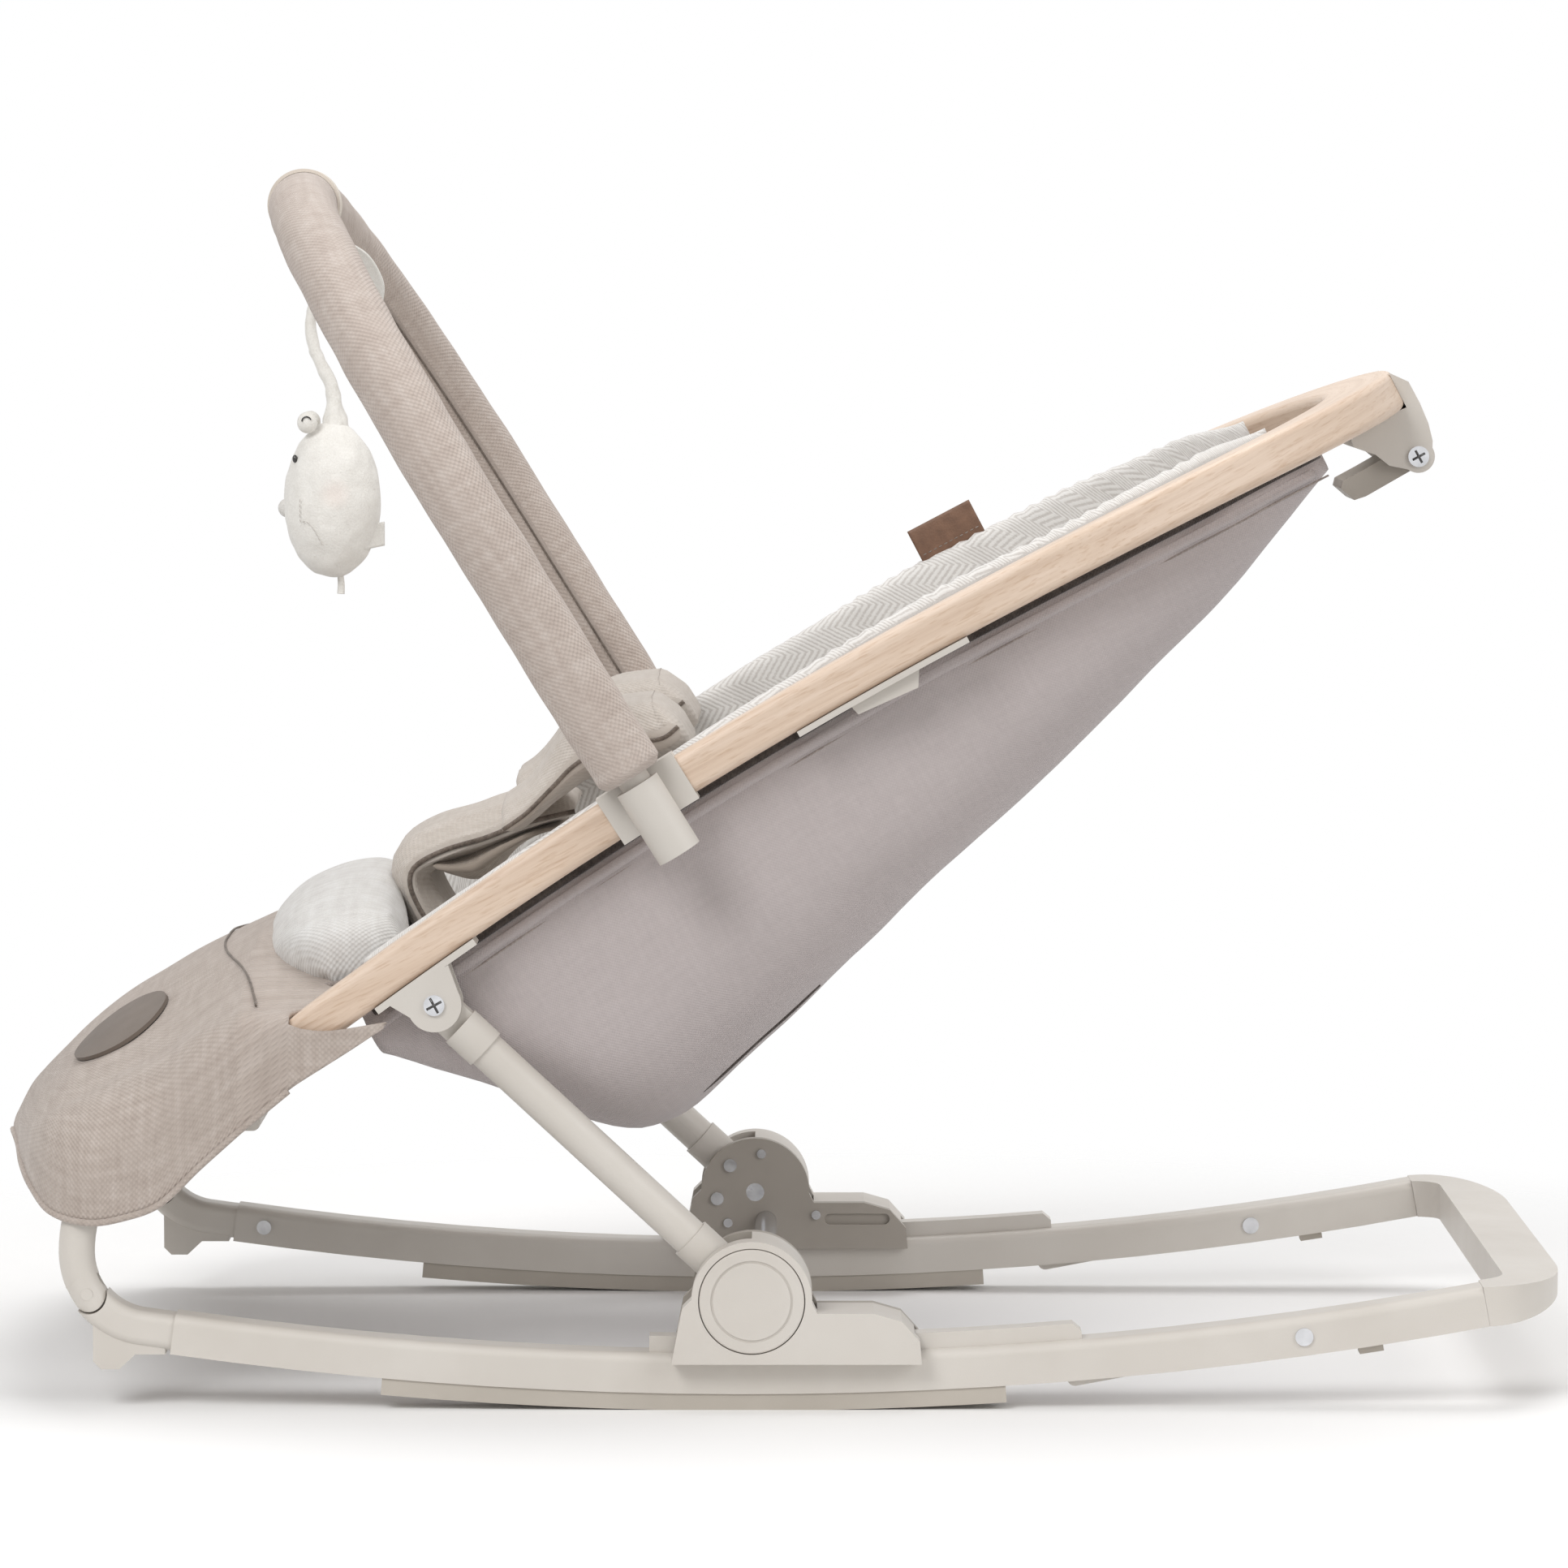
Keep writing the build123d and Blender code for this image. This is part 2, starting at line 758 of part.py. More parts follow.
def hub_screw_set():
    """Left screws of the inner cover."""
    screws = []
    for x, z, radius in hub_screw_places():
        shank = cross_pin(x, z, radius / 2 - pin_gap, -cover_face_y - hub_screw_depth, -cover_face_y)
        screws.append(shank + cross_pin(x, z, radius, -cover_face_y, -cover_face_y + hub_screw_height))
    return screws


def hub_axle():
    """Left axle through the hub plates and the leg's disc."""
    return cross_pin(hub_x, hub_z, hub_axle_radius, -plate_outer_y - hub_axle_stand, -cover_face_y)


def hub_button():
    """Left round button in the hub."""
    cap = cross_pin(hub_x, hub_z, button_radius, -hub_face_y, -hub_face_y + button_thickness)
    ring = disc(hub_x, hub_z, button_ring_radius) - disc(hub_x, hub_z, button_ring_radius - 1.2)
    cap -= slab(ring, -hub_face_y, -hub_face_y + 0.6)
    rims = cap.edges().filter_by(GeomType.CIRCLE).group_by(Axis.Y)[0]
    return fillet(rims.sort_by(SortBy.RADIUS)[-1:], 1.0)


# Legs
leg_span = Vector(hub_x - bracket_pivot_x, hub_z - bracket_pivot_z)
leg_length = leg_span.length
leg_along = leg_span.normalized()


def leg_round(start, end, radius):
    """Round bar along the left leg, between two distances from its bracket pivot."""
    origin = Vector(bracket_pivot_x, -rail_y, bracket_pivot_z)
    along = Vector(leg_along.X, 0, leg_along.Y)
    base = Plane(origin + along * start, x_dir=(0, 1, 0), z_dir=along)
    return extrude(base * Circle(radius), amount=end - start)


def leg_tube():
    """Left leg tube."""
    return leg_round(leg_collar_start + leg_socket_wall, leg_length - leg_socket_end, leg_radius)


def leg_upper_knuckle():
    """Left knuckle in the seat bracket, with the collar of the leg tube."""
    neck_end = leg_along * leg_collar_end * 0.7
    neck = capsule(
        bracket_pivot_x,
        bracket_pivot_z,
        bracket_pivot_x + neck_end.X,
        bracket_pivot_z + neck_end.Y,
        leg_tongue_radius,
    )
    knuckle = centred_slab(neck, -rail_y, leg_tongue_thickness)
    knuckle += leg_round(leg_collar_start, leg_collar_end, leg_collar_radius)
    knuckle -= leg_round(leg_collar_start + leg_socket_wall, leg_collar_end + 10, leg_radius + seat_gap)
    return knuckle - cross_pin(
        bracket_pivot_x,
        bracket_pivot_z,
        pivot_bolt_radius + pin_gap,
        -rail_outer_y,
        -rail_inner_y,
    )


def leg_lower_disc():
    """Left disc that turns in the hub, with the collar of the leg tube."""
    foot = cross_pin(
        hub_x,
        hub_z,
        leg_disc_radius,
        -rail_y - leg_disc_thickness / 2,
        -rail_y + leg_disc_thickness / 2,
    )
    foot += leg_round(leg_length - leg_lower_collar, leg_length - leg_disc_radius / 2, leg_collar_radius)
    foot -= leg_round(
        leg_length - leg_lower_collar - 10,
        leg_length - leg_socket_end + seat_gap,
        leg_radius + seat_gap,
    )
    return foot - cross_pin(hub_x, hub_z, hub_axle_radius + pin_gap, -rail_outer_y, -rail_inner_y)


# Wooden frame, in its own tilted frame
wood_cos = cos(radians(wood_slope))
wood_sin = sin(radians(wood_slope))
wood_nose_reach = sin(radians(wood_nose_turn))
wood_turned = radians(wood_nose_turn + wood_shoulder_turn)
wood_shoulder_reach = wood_shoulder_radius * (sin(wood_turned) - wood_nose_reach)
wood_side_reach = wood_side_radius * (1 - sin(wood_turned))
wood_nose_radius = (wood_half_width - wood_shoulder_reach - wood_side_reach) / wood_nose_reach
wood_inner_shoulder = wood_shoulder_radius - wood_shoulder_step


def seat_local(x, z):
    """Place in the tilted frame of a world X and Z."""
    return (
        (x - wood_x) * wood_cos + (z - wood_z) * wood_sin,
        (z - wood_z) * wood_cos - (x - wood_x) * wood_sin,
    )


def seat_slab(shape, y_low, y_high):
    """Extrude an outline of the tilted frame along Y."""
    side = Plane((wood_x, y_high, wood_z), x_dir=(wood_cos, 0, wood_sin), z_dir=(0, -1, 0))
    return extrude(side * shape, amount=y_high - y_low)


wood_bow_centre = Vector(wood_crown_x, wood_crown_z - wood_bow_radius)


def wood_spot(x, drop):
    """Place on the bowed top line at x, lowered square to it by drop."""
    angle = asin((x - wood_bow_centre.X) / wood_bow_radius)
    reach = wood_bow_radius - drop
    return (wood_bow_centre.X + reach * sin(angle), wood_bow_centre.Y + reach * cos(angle))


def wood_line(x_from, x_to, drop):
    """Arc along the frame from x_from up to x_to."""
    middle = (x_from + x_to) / 2
    return ThreePointArc(wood_spot(x_from, drop), wood_spot(middle, drop), wood_spot(x_to, drop))


def wood_strip(x_from, x_to, drop_top, drop_low):
    """Side outline along the frame between two drops."""
    top = wood_line(x_from, x_to, drop_top)
    low = wood_line(x_from, x_to, drop_low)
    return make_face([top, low, Line(top @ 0, low @ 0), Line(top @ 1, low @ 1)])


def wood_plan(apex_x, nose_radius, shoulder_radius):
    """Plan outline of the loop, inside its outer or inner edge."""
    nose = JernArc((apex_x, 0), (0, 1), nose_radius, wood_nose_turn)
    shoulder = JernArc(nose @ 1, nose % 1, shoulder_radius, wood_shoulder_turn)
    side = JernArc(shoulder @ 1, shoulder % 1, wood_side_radius, wood_side_turn)
    half = [nose, shoulder, side]
    end = side @ 1
    half.append(Line(end, (end.X, 0)))
    half.append(Line((end.X, 0), (apex_x, 0)))
    face = make_face(half)
    return face + mirror(face, about=Plane.XZ)


def wood_solid(plan, strip):
    """Solid of a plan outline within a side strip."""
    tilt = Plane((wood_x, 0, wood_z), x_dir=(wood_cos, 0, wood_sin), z_dir=(-wood_sin, 0, wood_cos))
    block = extrude(tilt * plan, amount=150, both=True)
    return block & seat_slab(strip, -2 * rail_y, 2 * rail_y)


def wood_frame():
    """Bent wooden loop, open at the foot end."""
    inner_apex = wood_apex_x - wood_apex_width
    inner_nose = wood_nose_radius - wood_side_width
    plan = wood_plan(wood_apex_x, wood_nose_radius, wood_shoulder_radius)
    plan -= wood_plan(inner_apex, inner_nose, wood_inner_shoulder)
    loop = wood_solid(plan, wood_strip(wood_foot_x, wood_apex_x + 5, 0, wood_thickness))
    return fillet(long_edges(loop, wood_side_width + wood_apex_width), wood_edge_radius)


# Seat brackets for the legs
bracket_x, bracket_z = seat_local(bracket_pivot_x, bracket_pivot_z)


def leg_bracket():
    """Left clevis under the wooden frame."""
    half = leg_tongue_thickness / 2 + slide_gap
    outer = -rail_y - half - bracket_cheek
    inner = -rail_y + half + bracket_cheek
    flange = wood_strip(
        bracket_x - bracket_front_reach,
        bracket_x + bracket_rear_reach,
        wood_thickness + seat_gap,
        wood_thickness + bracket_flange,
    )
    top = wood_spot(bracket_x, wood_thickness + bracket_flange)[1]
    cheek = disc(bracket_x, bracket_z, bracket_lug_radius) + outline(
        (bracket_x - bracket_lug_radius - 7, top - 1.5),
        (bracket_x + bracket_lug_radius + 2, top + 1.5),
        (bracket_x + bracket_lug_radius, bracket_z),
        (bracket_x - bracket_lug_radius, bracket_z),
    )
    cheek -= wood_strip(bracket_x - 60, bracket_x + 60, -wood_thickness, wood_thickness + seat_gap)
    bracket = seat_slab(flange, outer, inner)
    bracket += seat_slab(cheek, outer, outer + bracket_cheek)
    bracket += seat_slab(cheek, inner - bracket_cheek, inner)
    return bracket - cross_pin(
        bracket_pivot_x,
        bracket_pivot_z,
        pivot_bolt_radius + pin_gap,
        outer - 1,
        inner + 1,
    )


def leg_pivot_bolt():
    """Left bolt through the bracket and the leg's knuckle."""
    half = leg_tongue_thickness / 2 + slide_gap + bracket_cheek
    bolt = cross_pin(bracket_pivot_x, bracket_pivot_z, pivot_bolt_radius, -rail_y - half, -rail_y + half)
    head = (-rail_y - half - pivot_bolt_head_height, -rail_y - half)
    tail = (-rail_y + half, -rail_y + half + pivot_bolt_head_height)
    for span in (head, tail):
        bolt += cross_pin(bracket_pivot_x, bracket_pivot_z, pivot_bolt_head_radius, *span)
    return bolt


# Toy bar
toy_up = Vector(-sin(radians(toy_bar_lean)), 0, cos(radians(toy_bar_lean)))
wood_outer_y = rail_y + wood_side_width / 2 + wood_side_bow
toy_bar_y = wood_outer_y + sleeve_radius + sleeve_stand
toy_plane = Plane((toy_bar_x, 0, toy_bar_z), x_dir=(0, 1, 0), z_dir=(toy_up.Z, 0, -toy_up.X))
toy_apex = Vector(toy_bar_x, 0, toy_bar_z) + toy_up * toy_bar_reach


def toy_bar_sweep(section, start):
    """Sweep a round section along the arch, from one end up and over."""
    side = toy_bar_reach - toy_bar_y
    limb = Line((-toy_bar_y, start), (-toy_bar_y, side))
    arch = ThreePointArc((-toy_bar_y, side), (0, toy_bar_reach), (toy_bar_y, side))
    other = Line((toy_bar_y, side), (toy_bar_y, start))
    path = Wire([(toy_plane * edge).edge() for edge in (limb, arch, other)])
    first = toy_plane.from_local_coords(Vector(-toy_bar_y, start, 0))
    return sweep(Plane(first, x_dir=(0, 1, 0), z_dir=toy_up) * section, path=path)


def toy_bar_core():
    """Bent rod with plain ends that drop into the clips."""
    return toy_bar_sweep(Circle(toy_bar_core_radius), -toy_bar_plug_depth)


def toy_bar_cover():
    """Padded sleeve over the rod."""
    ring = Circle(toy_bar_cover_radius) - Circle(toy_bar_core_radius + seat_gap)
    return toy_bar_sweep(ring, toy_bar_cover_lift)


def toy_bar_clip():
    """Left clip on the wooden frame with the socket of the toy bar."""
    x = seat_local(toy_bar_x, toy_bar_z)[0]
    y = wood_outer_y
    grip = wood_strip(x - clip_length / 2, x + clip_length / 2, -clip_wall, wood_thickness + clip_wall)
    clip = seat_slab(grip, -y - clip_wall, -y + clip_grip)
    room = wood_strip(x - clip_length, x + clip_length, -seat_gap, wood_thickness + seat_gap)
    clip -= seat_slab(room, -y - seat_gap, -y + 2 * clip_grip)
    low = Vector(toy_bar_x, -toy_bar_y, toy_bar_z) - toy_up * sleeve_drop
    base = Plane(low, x_dir=(0, 1, 0), z_dir=toy_up)
    clip += extrude(base * Circle(sleeve_radius), amount=sleeve_drop)
    bore = Plane(low + toy_up * (sleeve_drop - toy_bar_plug_depth - 1), x_dir=(0, 1, 0), z_dir=toy_up)
    return clip - extrude(bore * Circle(toy_bar_core_radius + 2 * pin_gap), amount=sleeve_drop)


# Hanging toy
toy_pivot_x = toy_apex.X + toy_hook_forward
toy_pivot_z = toy_apex.Z - toy_hook_drop
toy_mid_z = (toy_top_z + toy_bottom_z) / 2


def toy_ring():
    """Band round the toy bar with a small eye for the toy."""
    band = disc(toy_apex.X, toy_apex.Z, toy_bar_cover_radius + toy_ring_wall)
    ring = centred_slab(band, 0, toy_ring_width)
    eye = capsule(toy_apex.X, toy_apex.Z, toy_pivot_x, toy_pivot_z, toy_eye_radius)
    eye -= disc(toy_pivot_x, toy_pivot_z, toy_pin_radius + pin_gap)
    for side in (-1, 1):
        ring += centred_slab(eye, side * toy_eye_y, toy_eye_width)
    ring -= toy_bar_sweep(Circle(toy_bar_cover_radius + seat_gap), toy_bar_reach / 2)
    return ring


def toy_pin():
    """Cross pin of the toy's strap."""
    half = toy_eye_y + toy_eye_width / 2
    return cross_pin(toy_pivot_x, toy_pivot_z, toy_pin_radius, -half, half)


def toy_strap():
    """Strap from the eye down to the toy, widening over its head."""
    width = 2 * toy_eye_y - toy_eye_width - 2 * slide_gap
    strip = outline(
        (toy_pivot_x - toy_strap_half, toy_pivot_z),
        (toy_pivot_x + toy_strap_half, toy_pivot_z),
        (toy_pivot_x + toy_strap_half * 1.5, toy_top_z + 6),
        (toy_pivot_x + toy_strap_half * 2.2, toy_top_z - 12),
        (toy_pivot_x - toy_strap_half * 2.2, toy_top_z - 12),
        (toy_pivot_x - toy_strap_half * 1.5, toy_top_z + 6),
    )
    strap = centred_slab(strip + disc(toy_pivot_x, toy_pivot_z, toy_strap_half), 0, width)
    strap -= cross_pin(toy_pivot_x, toy_pivot_z, toy_pin_radius + pin_gap, -width, width)
    return strap - toy_body_solid()


def stuffed(half_width, half_height):
    """Stuffed round form, taller than wide."""
    return scale(Sphere(half_width), by=(1, 1, half_height / half_width))


def toy_body_solid():
    """Stuffed egg-shaped body."""
    half_height = (toy_top_z - toy_bottom_z) / 2
    return Pos(toy_pivot_x, 0, toy_bottom_z + half_height) * stuffed(toy_half_width, half_height)


def toy_ear():
    """Left stuffed ear, cut by the body."""
    ear = stuffed(toy_ear_radius, toy_ear_half_height)
    return Pos(toy_pivot_x + toy_ear_x, -toy_ear_y, toy_ear_z) * ear - toy_body_solid()


def toy_nose():
    """Round nose on the front of the toy, cut by the body."""
    return Pos(toy_pivot_x - toy_half_width - 1, 0, toy_mid_z - toy_nose_drop) * Sphere(toy_nose_radius) - toy_body_solid()


def toy_tag():
    """Bare tag at the back of the toy."""
    place = Pos(toy_pivot_x + toy_half_width, 0, toy_mid_z - toy_tag_drop)
    return place * Box(toy_tag_length, 1.2, toy_tag_height) - toy_body_solid()


def toy_tail():
    """Short cord under the toy."""
    top = toy_bottom_z - seat_gap
    return Pos(toy_pivot_x, 0, top - toy_tail_length / 2) * Cylinder(toy_tail_radius, toy_tail_length)


# Soft goods
seat_tilt = Plane((wood_x, 0, wood_z), x_dir=(0, 1, 0), z_dir=(wood_cos, 0, wood_sin))


def trough_section(half_width, top, bottom, wall, corner):
    """Open trough outline across the seat, from rim to rim."""
    loops = []
    for inset in (0, wall):
        w = half_width - inset
        low = bottom + inset
        r = corner - inset
        slant = r * (1 - sqrt(0.5))
        loops.append(
            [
                Line((-w, top), (-w, low + r)),
                ThreePointArc((-w, low + r), (-w + slant, low + slant), (-w + r, low)),
                Line((-w + r, low), (w - r, low)),
                ThreePointArc((w - r, low), (w - slant, low + slant), (w, low + r)),
                Line((w, low + r), (w, top)),
            ]
        )
    w = half_width - wall
    rims = [Line((-half_width, top), (-w, top)), Line((w, top), (half_width, top))]
    return make_face(loops[0] + loops[1] + rims)


def trough(front_rise, head_rise, inset, wall):
    """Loft a trough through the sling's stations, inset from it, up to a rise above the wood."""
    sections = []
    first_x = sling_stations[0][0]
    last_x = sling_stations[-1][0]
    for x, share, depth in sling_stations:
        plane = Plane(seat_tilt.origin + seat_tilt.z_dir * x, x_dir=seat_tilt.x_dir, z_dir=seat_tilt.z_dir)
        half_width = sling_half_width * share
        hem = wood_spot(x, sling_hem_drop)[1]
        corner = min(sling_corner, 0.45 * (hem + depth), 0.45 * half_width) - inset
        rise = front_rise + (head_rise - front_rise) * (x - first_x) / (last_x - first_x)
        top = wood_spot(x, -rise)[1]
        section = trough_section(half_width - inset, top, inset - depth, wall, max(corner, wall + 2))
        sections.append(plane * section)
    return loft(sections)


def sling():
    """Hanging fabric shell under the wooden frame."""
    return trough(-sling_hem_drop, -sling_hem_drop, 0, sling_wall)


def seat_pad():
    """Padded liner that lies in the sling and stands above the wood."""
    pad = trough(pad_front_rise, pad_head_rise, sling_wall + pad_gap, pad_wall)
    front = sling_stations[0][0] - 1
    depth = pad_start_x - front
    beyond = Pos(front + depth / 2, 0) * Rectangle(depth, 2 * sling_half_width)
    return pad - seat_slab(beyond, -rail_y, rail_y)


def arch_section(half_width, low, shoulder, top, corner):
    """Rounded arch outline with a flat lower side."""
    slant = corner * (1 - sqrt(0.5))
    w = half_width
    return make_face(
        [
            Line((-w, low), (-w, shoulder - corner)),
            ThreePointArc((-w, shoulder - corner), (-w + slant, shoulder - slant), (-w + corner, shoulder)),
            ThreePointArc((-w + corner, shoulder), (0, top), (w - corner, shoulder)),
            ThreePointArc((w - corner, shoulder), (w - slant, shoulder - slant), (w, shoulder - corner)),
            Line((w, shoulder - corner), (w, low)),
            Line((w, low), (-w, low)),
        ]
    )


def leg_cushion():
    """Domed cushion at the foot end of the pad."""
    sections = []
    for x, share, low, shoulder, top in cushion_stations:
        plane = Plane(seat_tilt.origin + seat_tilt.z_dir * x, x_dir=seat_tilt.x_dir, z_dir=seat_tilt.z_dir)
        corner = 0.8 * (shoulder - low)
        sections.append(plane * arch_section(cushion_half_width * share, low, shoulder, top, corner))
    return loft(sections)


def boot_station(x):
    """Share, heights and corner of the foot cover at X, eased through its stations."""
    last = len(boot_stations) - 1
    i = max(k for k in range(last) if boot_stations[k][0] <= x)
    here = boot_stations[i]
    after = boot_stations[i + 1]
    before = boot_stations[max(i - 1, 0)]
    beyond = boot_stations[min(i + 2, last)]
    span = after[0] - here[0]
    t = (x - here[0]) / span
    values = []
    for a, b, c, d in zip(before[1:], here[1:], after[1:], beyond[1:]):
        leave = (c - a) / (after[0] - before[0]) * span
        reach = (d - b) / (beyond[0] - here[0]) * span
        bend = b * (2 * t ** 3 - 3 * t ** 2 + 1) + c * (3 * t ** 2 - 2 * t ** 3)
        values.append(bend + leave * (t ** 3 - 2 * t ** 2 + t) + reach * (t ** 3 - t ** 2))
    return values


def boot_form(inset, mouth=0.0, rear=0.0):
    """Foot cover as a solid, drawn in by an inset and run on below and behind."""
    sections = []
    for k in range(boot_panels):
        share, low, shoulder, top, corner = boot_station(boot_panel_x(k))
        place = boot_panel_x(k)
        if k == 0:
            place += inset
        if k == boot_panels - 1:
            place += rear
        plane = Plane((place, 0, 0), x_dir=(0, 1, 0), z_dir=(1, 0, 0))
        half_width = boot_half_width * share - inset
        sections.append(plane * arch_section(half_width, low - mouth, shoulder - inset, top - inset, corner))
    return loft(sections, ruled=True)


def boot_panel_x(k):
    """Place of a panel edge along X, closer together at the toe."""
    share = k / (boot_panels - 1)
    return boot_front_x + (boot_rear_x - boot_front_x) * share ** 1.5


def boot():
    """Fabric foot cover, open below and behind."""
    cover = boot_form(0) - boot_form(boot_wall, boot_mouth_drop, boot_rear_cut)
    cheek = outline(
        (boot_rear_x - 3, boot_cheek_z - 42),
        (boot_rear_x + 44, boot_cheek_z - 6),
        (boot_rear_x + 74, boot_cheek_z + 10),
        (boot_rear_x + 71, boot_cheek_z + 18),
        (boot_rear_x - 3, boot_cheek_z - 2),
    )
    for side in (-1, 1):
        cover += centred_slab(cheek, side * (boot_half_width - boot_wall / 2), boot_wall)
    return cover


def boot_badge():
    """Plain oval badge on the left of the foot cover, bent to its surface."""
    slope = radians(badge_slope)
    roll = radians(badge_roll)
    face = (-sin(slope) * cos(roll), -sin(roll), cos(slope) * cos(roll))
    tilt = Plane((badge_x, -badge_y, badge_z), x_dir=(cos(slope), 0, sin(slope)), z_dir=face)
    column = extrude(tilt * Ellipse(badge_half_length, badge_half_width), amount=badge_reach, both=True)
    return column & (boot_form(-badge_gap - badge_thickness) - boot_form(-badge_gap))


def label_tab():
    """Plain tab at the edge of the pad."""
    share = (tab_x - sling_stations[0][0]) / (sling_stations[-1][0] - sling_stations[0][0])
    rise = pad_front_rise + (pad_head_rise - pad_front_rise) * share
    low = wood_spot(tab_x, -rise)[1] + tab_stand
    shape = Pos(tab_x, low + tab_height / 2) * RectangleRounded(tab_length, tab_height, 2)
    return seat_slab(shape, tab_y - tab_thickness / 2, tab_y + tab_thickness / 2)


def strap_band(points, half_thickness):
    """XZ outline of a bent band through points."""
    band = None
    for (xa, za), (xb, zb) in zip(points, points[1:]):
        part = capsule(xa, za, xb, zb, half_thickness)
        band = part if band is None else band + part
    return band


def crotch_strap():
    """Padded strap from the seat up over the lap."""
    return centred_slab(strap_band(crotch_points, crotch_thickness / 2), 0, crotch_width)


def waist_strap():
    """Left padded wing of the harness."""
    return slab(strap_band(waist_points, waist_thickness / 2), -waist_outer_y, -waist_inner_y)


def fabric_clip():
    """Left clip that holds the sling's hem under the wooden frame."""
    strip = wood_strip(
        hem_clip_x,
        hem_clip_x + hem_clip_length,
        wood_thickness + seat_gap,
        wood_thickness + hem_clip_thickness,
    )
    first = wood_spot(hem_clip_x + hem_clip_length * 0.3, wood_thickness + 1)
    last = wood_spot(hem_clip_x + hem_clip_length * 0.72, wood_thickness + 1)
    tongue = outline(
        first,
        last,
        (last[0] - 6, last[1] - hem_clip_drop),
        (first[0] + 2, first[1] - hem_clip_drop * 0.7),
    )
    clip = seat_slab(
        strip,
        -rail_y - wood_side_width / 2,
        -sling_half_width * sling_stations[4][1] - slide_gap,
    )
    return clip + seat_slab(tongue, -rail_y - 6, -rail_y - 6 + hem_clip_thickness)


# Head bracket and latch
def head_bracket():
    """Bracket under the head of the wooden frame with the latch's cheeks."""
    outer = latch_half_width + slide_gap + head_bracket_cheek
    cheek = outline(*head_bracket_points) + disc(latch_pivot_x, latch_pivot_z, latch_lug_radius)
    block = centred_slab(cheek, 0, 2 * outer)
    flange_low = wood_thickness + head_bracket_flange
    keep = wood_strip(wood_foot_x + 200, wood_apex_x + 60, -wood_thickness, flange_low)
    room = centred_slab(cheek, 0, 2 * (latch_half_width + slide_gap)) - seat_slab(keep, -rail_y, rail_y)
    block -= room
    plan = wood_plan(wood_apex_x + seat_gap, wood_nose_radius + seat_gap, wood_shoulder_radius)
    block -= wood_solid(
        plan,
        wood_strip(wood_foot_x + 200, wood_apex_x + 20, -2 * wood_thickness, wood_thickness + seat_gap),
    )
    return block - cross_pin(latch_pivot_x, latch_pivot_z, latch_pin_radius + pin_gap, -2 * outer, 2 * outer)


def latch_pin():
    """Pin of the latch with a head on both sides."""
    outer = latch_half_width + slide_gap + head_bracket_cheek
    pin = cross_pin(latch_pivot_x, latch_pivot_z, latch_pin_radius, -outer, outer)
    for span in ((-outer - latch_head_height, -outer), (outer, outer + latch_head_height)):
        pin += cross_pin(latch_pivot_x, latch_pivot_z, latch_head_radius, *span)
    return pin


def latch_lever():
    """Hooked lever that holds the folded seat."""
    hook = outline(
        (latch_pivot_x - 2, latch_pivot_z - latch_hub_radius + 0.3),
        (latch_tip_x + 13, latch_tip_z - 4),
        (latch_tip_x + 7, latch_tip_z - 6),
        (latch_tip_x, latch_tip_z),
        (latch_tip_x + 1, latch_tip_z + 4),
        (latch_tip_x + 12, latch_tip_z + 10),
        (latch_pivot_x - 14, latch_pivot_z + 1),
        (latch_pivot_x - 3, latch_pivot_z + latch_hub_radius - 0.5),
    )
    lever = centred_slab(hook + disc(latch_pivot_x, latch_pivot_z, latch_hub_radius), 0, 2 * latch_half_width)
    return lever - cross_pin(latch_pivot_x, latch_pivot_z, latch_pin_radius + pin_gap, -rail_y, rail_y)


os.makedirs("parts", exist_ok=True)

save_pair("rocker_rail", rocker_rail())
save("rocker_pads", mirrored_group(rocker_pad()))
save("slide_tracks", mirrored_group(slide_track()))
save("rear_crossbar", rear_crossbar())
save_pair("front_elbow", front_elbow())
save("front_feet", mirrored_group(front_foot()))
save("front_pivot_pins", mirrored_group(front_pivot_pin()))
save_pair("kickstand", kickstand())
save("kickstand_pins", mirrored_group(kickstand_pin()))
save("rear_bumpers", mirrored_group(rear_bumper()))
save("rail_screws", mirrored_group(rail_screw()))

save("front_tube", front_tube())
save("front_yoke", front_yoke())
save("wood_frame", wood_frame())
save_pair("leg_bracket", leg_bracket())
save("leg_pivot_bolts", mirrored_group(leg_pivot_bolt()))
save("sling", sling())
save("seat_pad", seat_pad())
save("leg_cushion", leg_cushion())
save("boot", boot())
save("boot_badge", boot_badge())
save("label_tab", label_tab())
save("crotch_strap", crotch_strap())
save_pair("waist_strap", waist_strap())
save("fabric_clips", mirrored_group(fabric_clip()))
save_pair("toy_bar_clip", toy_bar_clip())
save("head_bracket", head_bracket())
save("latch_pin", latch_pin())
save("latch_lever", latch_lever())

save_pair("leg_tube", leg_tube())
save_pair("leg_upper_knuckle", leg_upper_knuckle())
save_pair("leg_lower_disc", leg_lower_disc())
save_pair("hub_housing", hub_housing())
save("hub_inner_covers", mirrored_group(hub_inner_cover()))
save("hub_axles", mirrored_group(hub_axle()))
save("hub_screws", mirrored_group(*hub_screw_set()))
save("sync_rod", cross_pin(sync_rod_x, sync_rod_z, sync_rod_radius, -plate_inner_y, plate_inner_y))
save_pair("hub_button", hub_button())

save("toy_bar_core", toy_bar_core())
save("toy_bar_cover", toy_bar_cover())
save("toy_ring", toy_ring())
save("toy_pin", toy_pin())
save("toy_strap", toy_strap())
save("toy_body", toy_body_solid())
save("toy_ears", mirrored_group(toy_ear()))
save("toy_nose", toy_nose())
save("toy_tag", toy_tag())
save("toy_tail", toy_tail())
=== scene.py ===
import bpy
import bmesh
from math import cos, exp, pi, radians, sin, sqrt
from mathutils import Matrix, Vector, noise


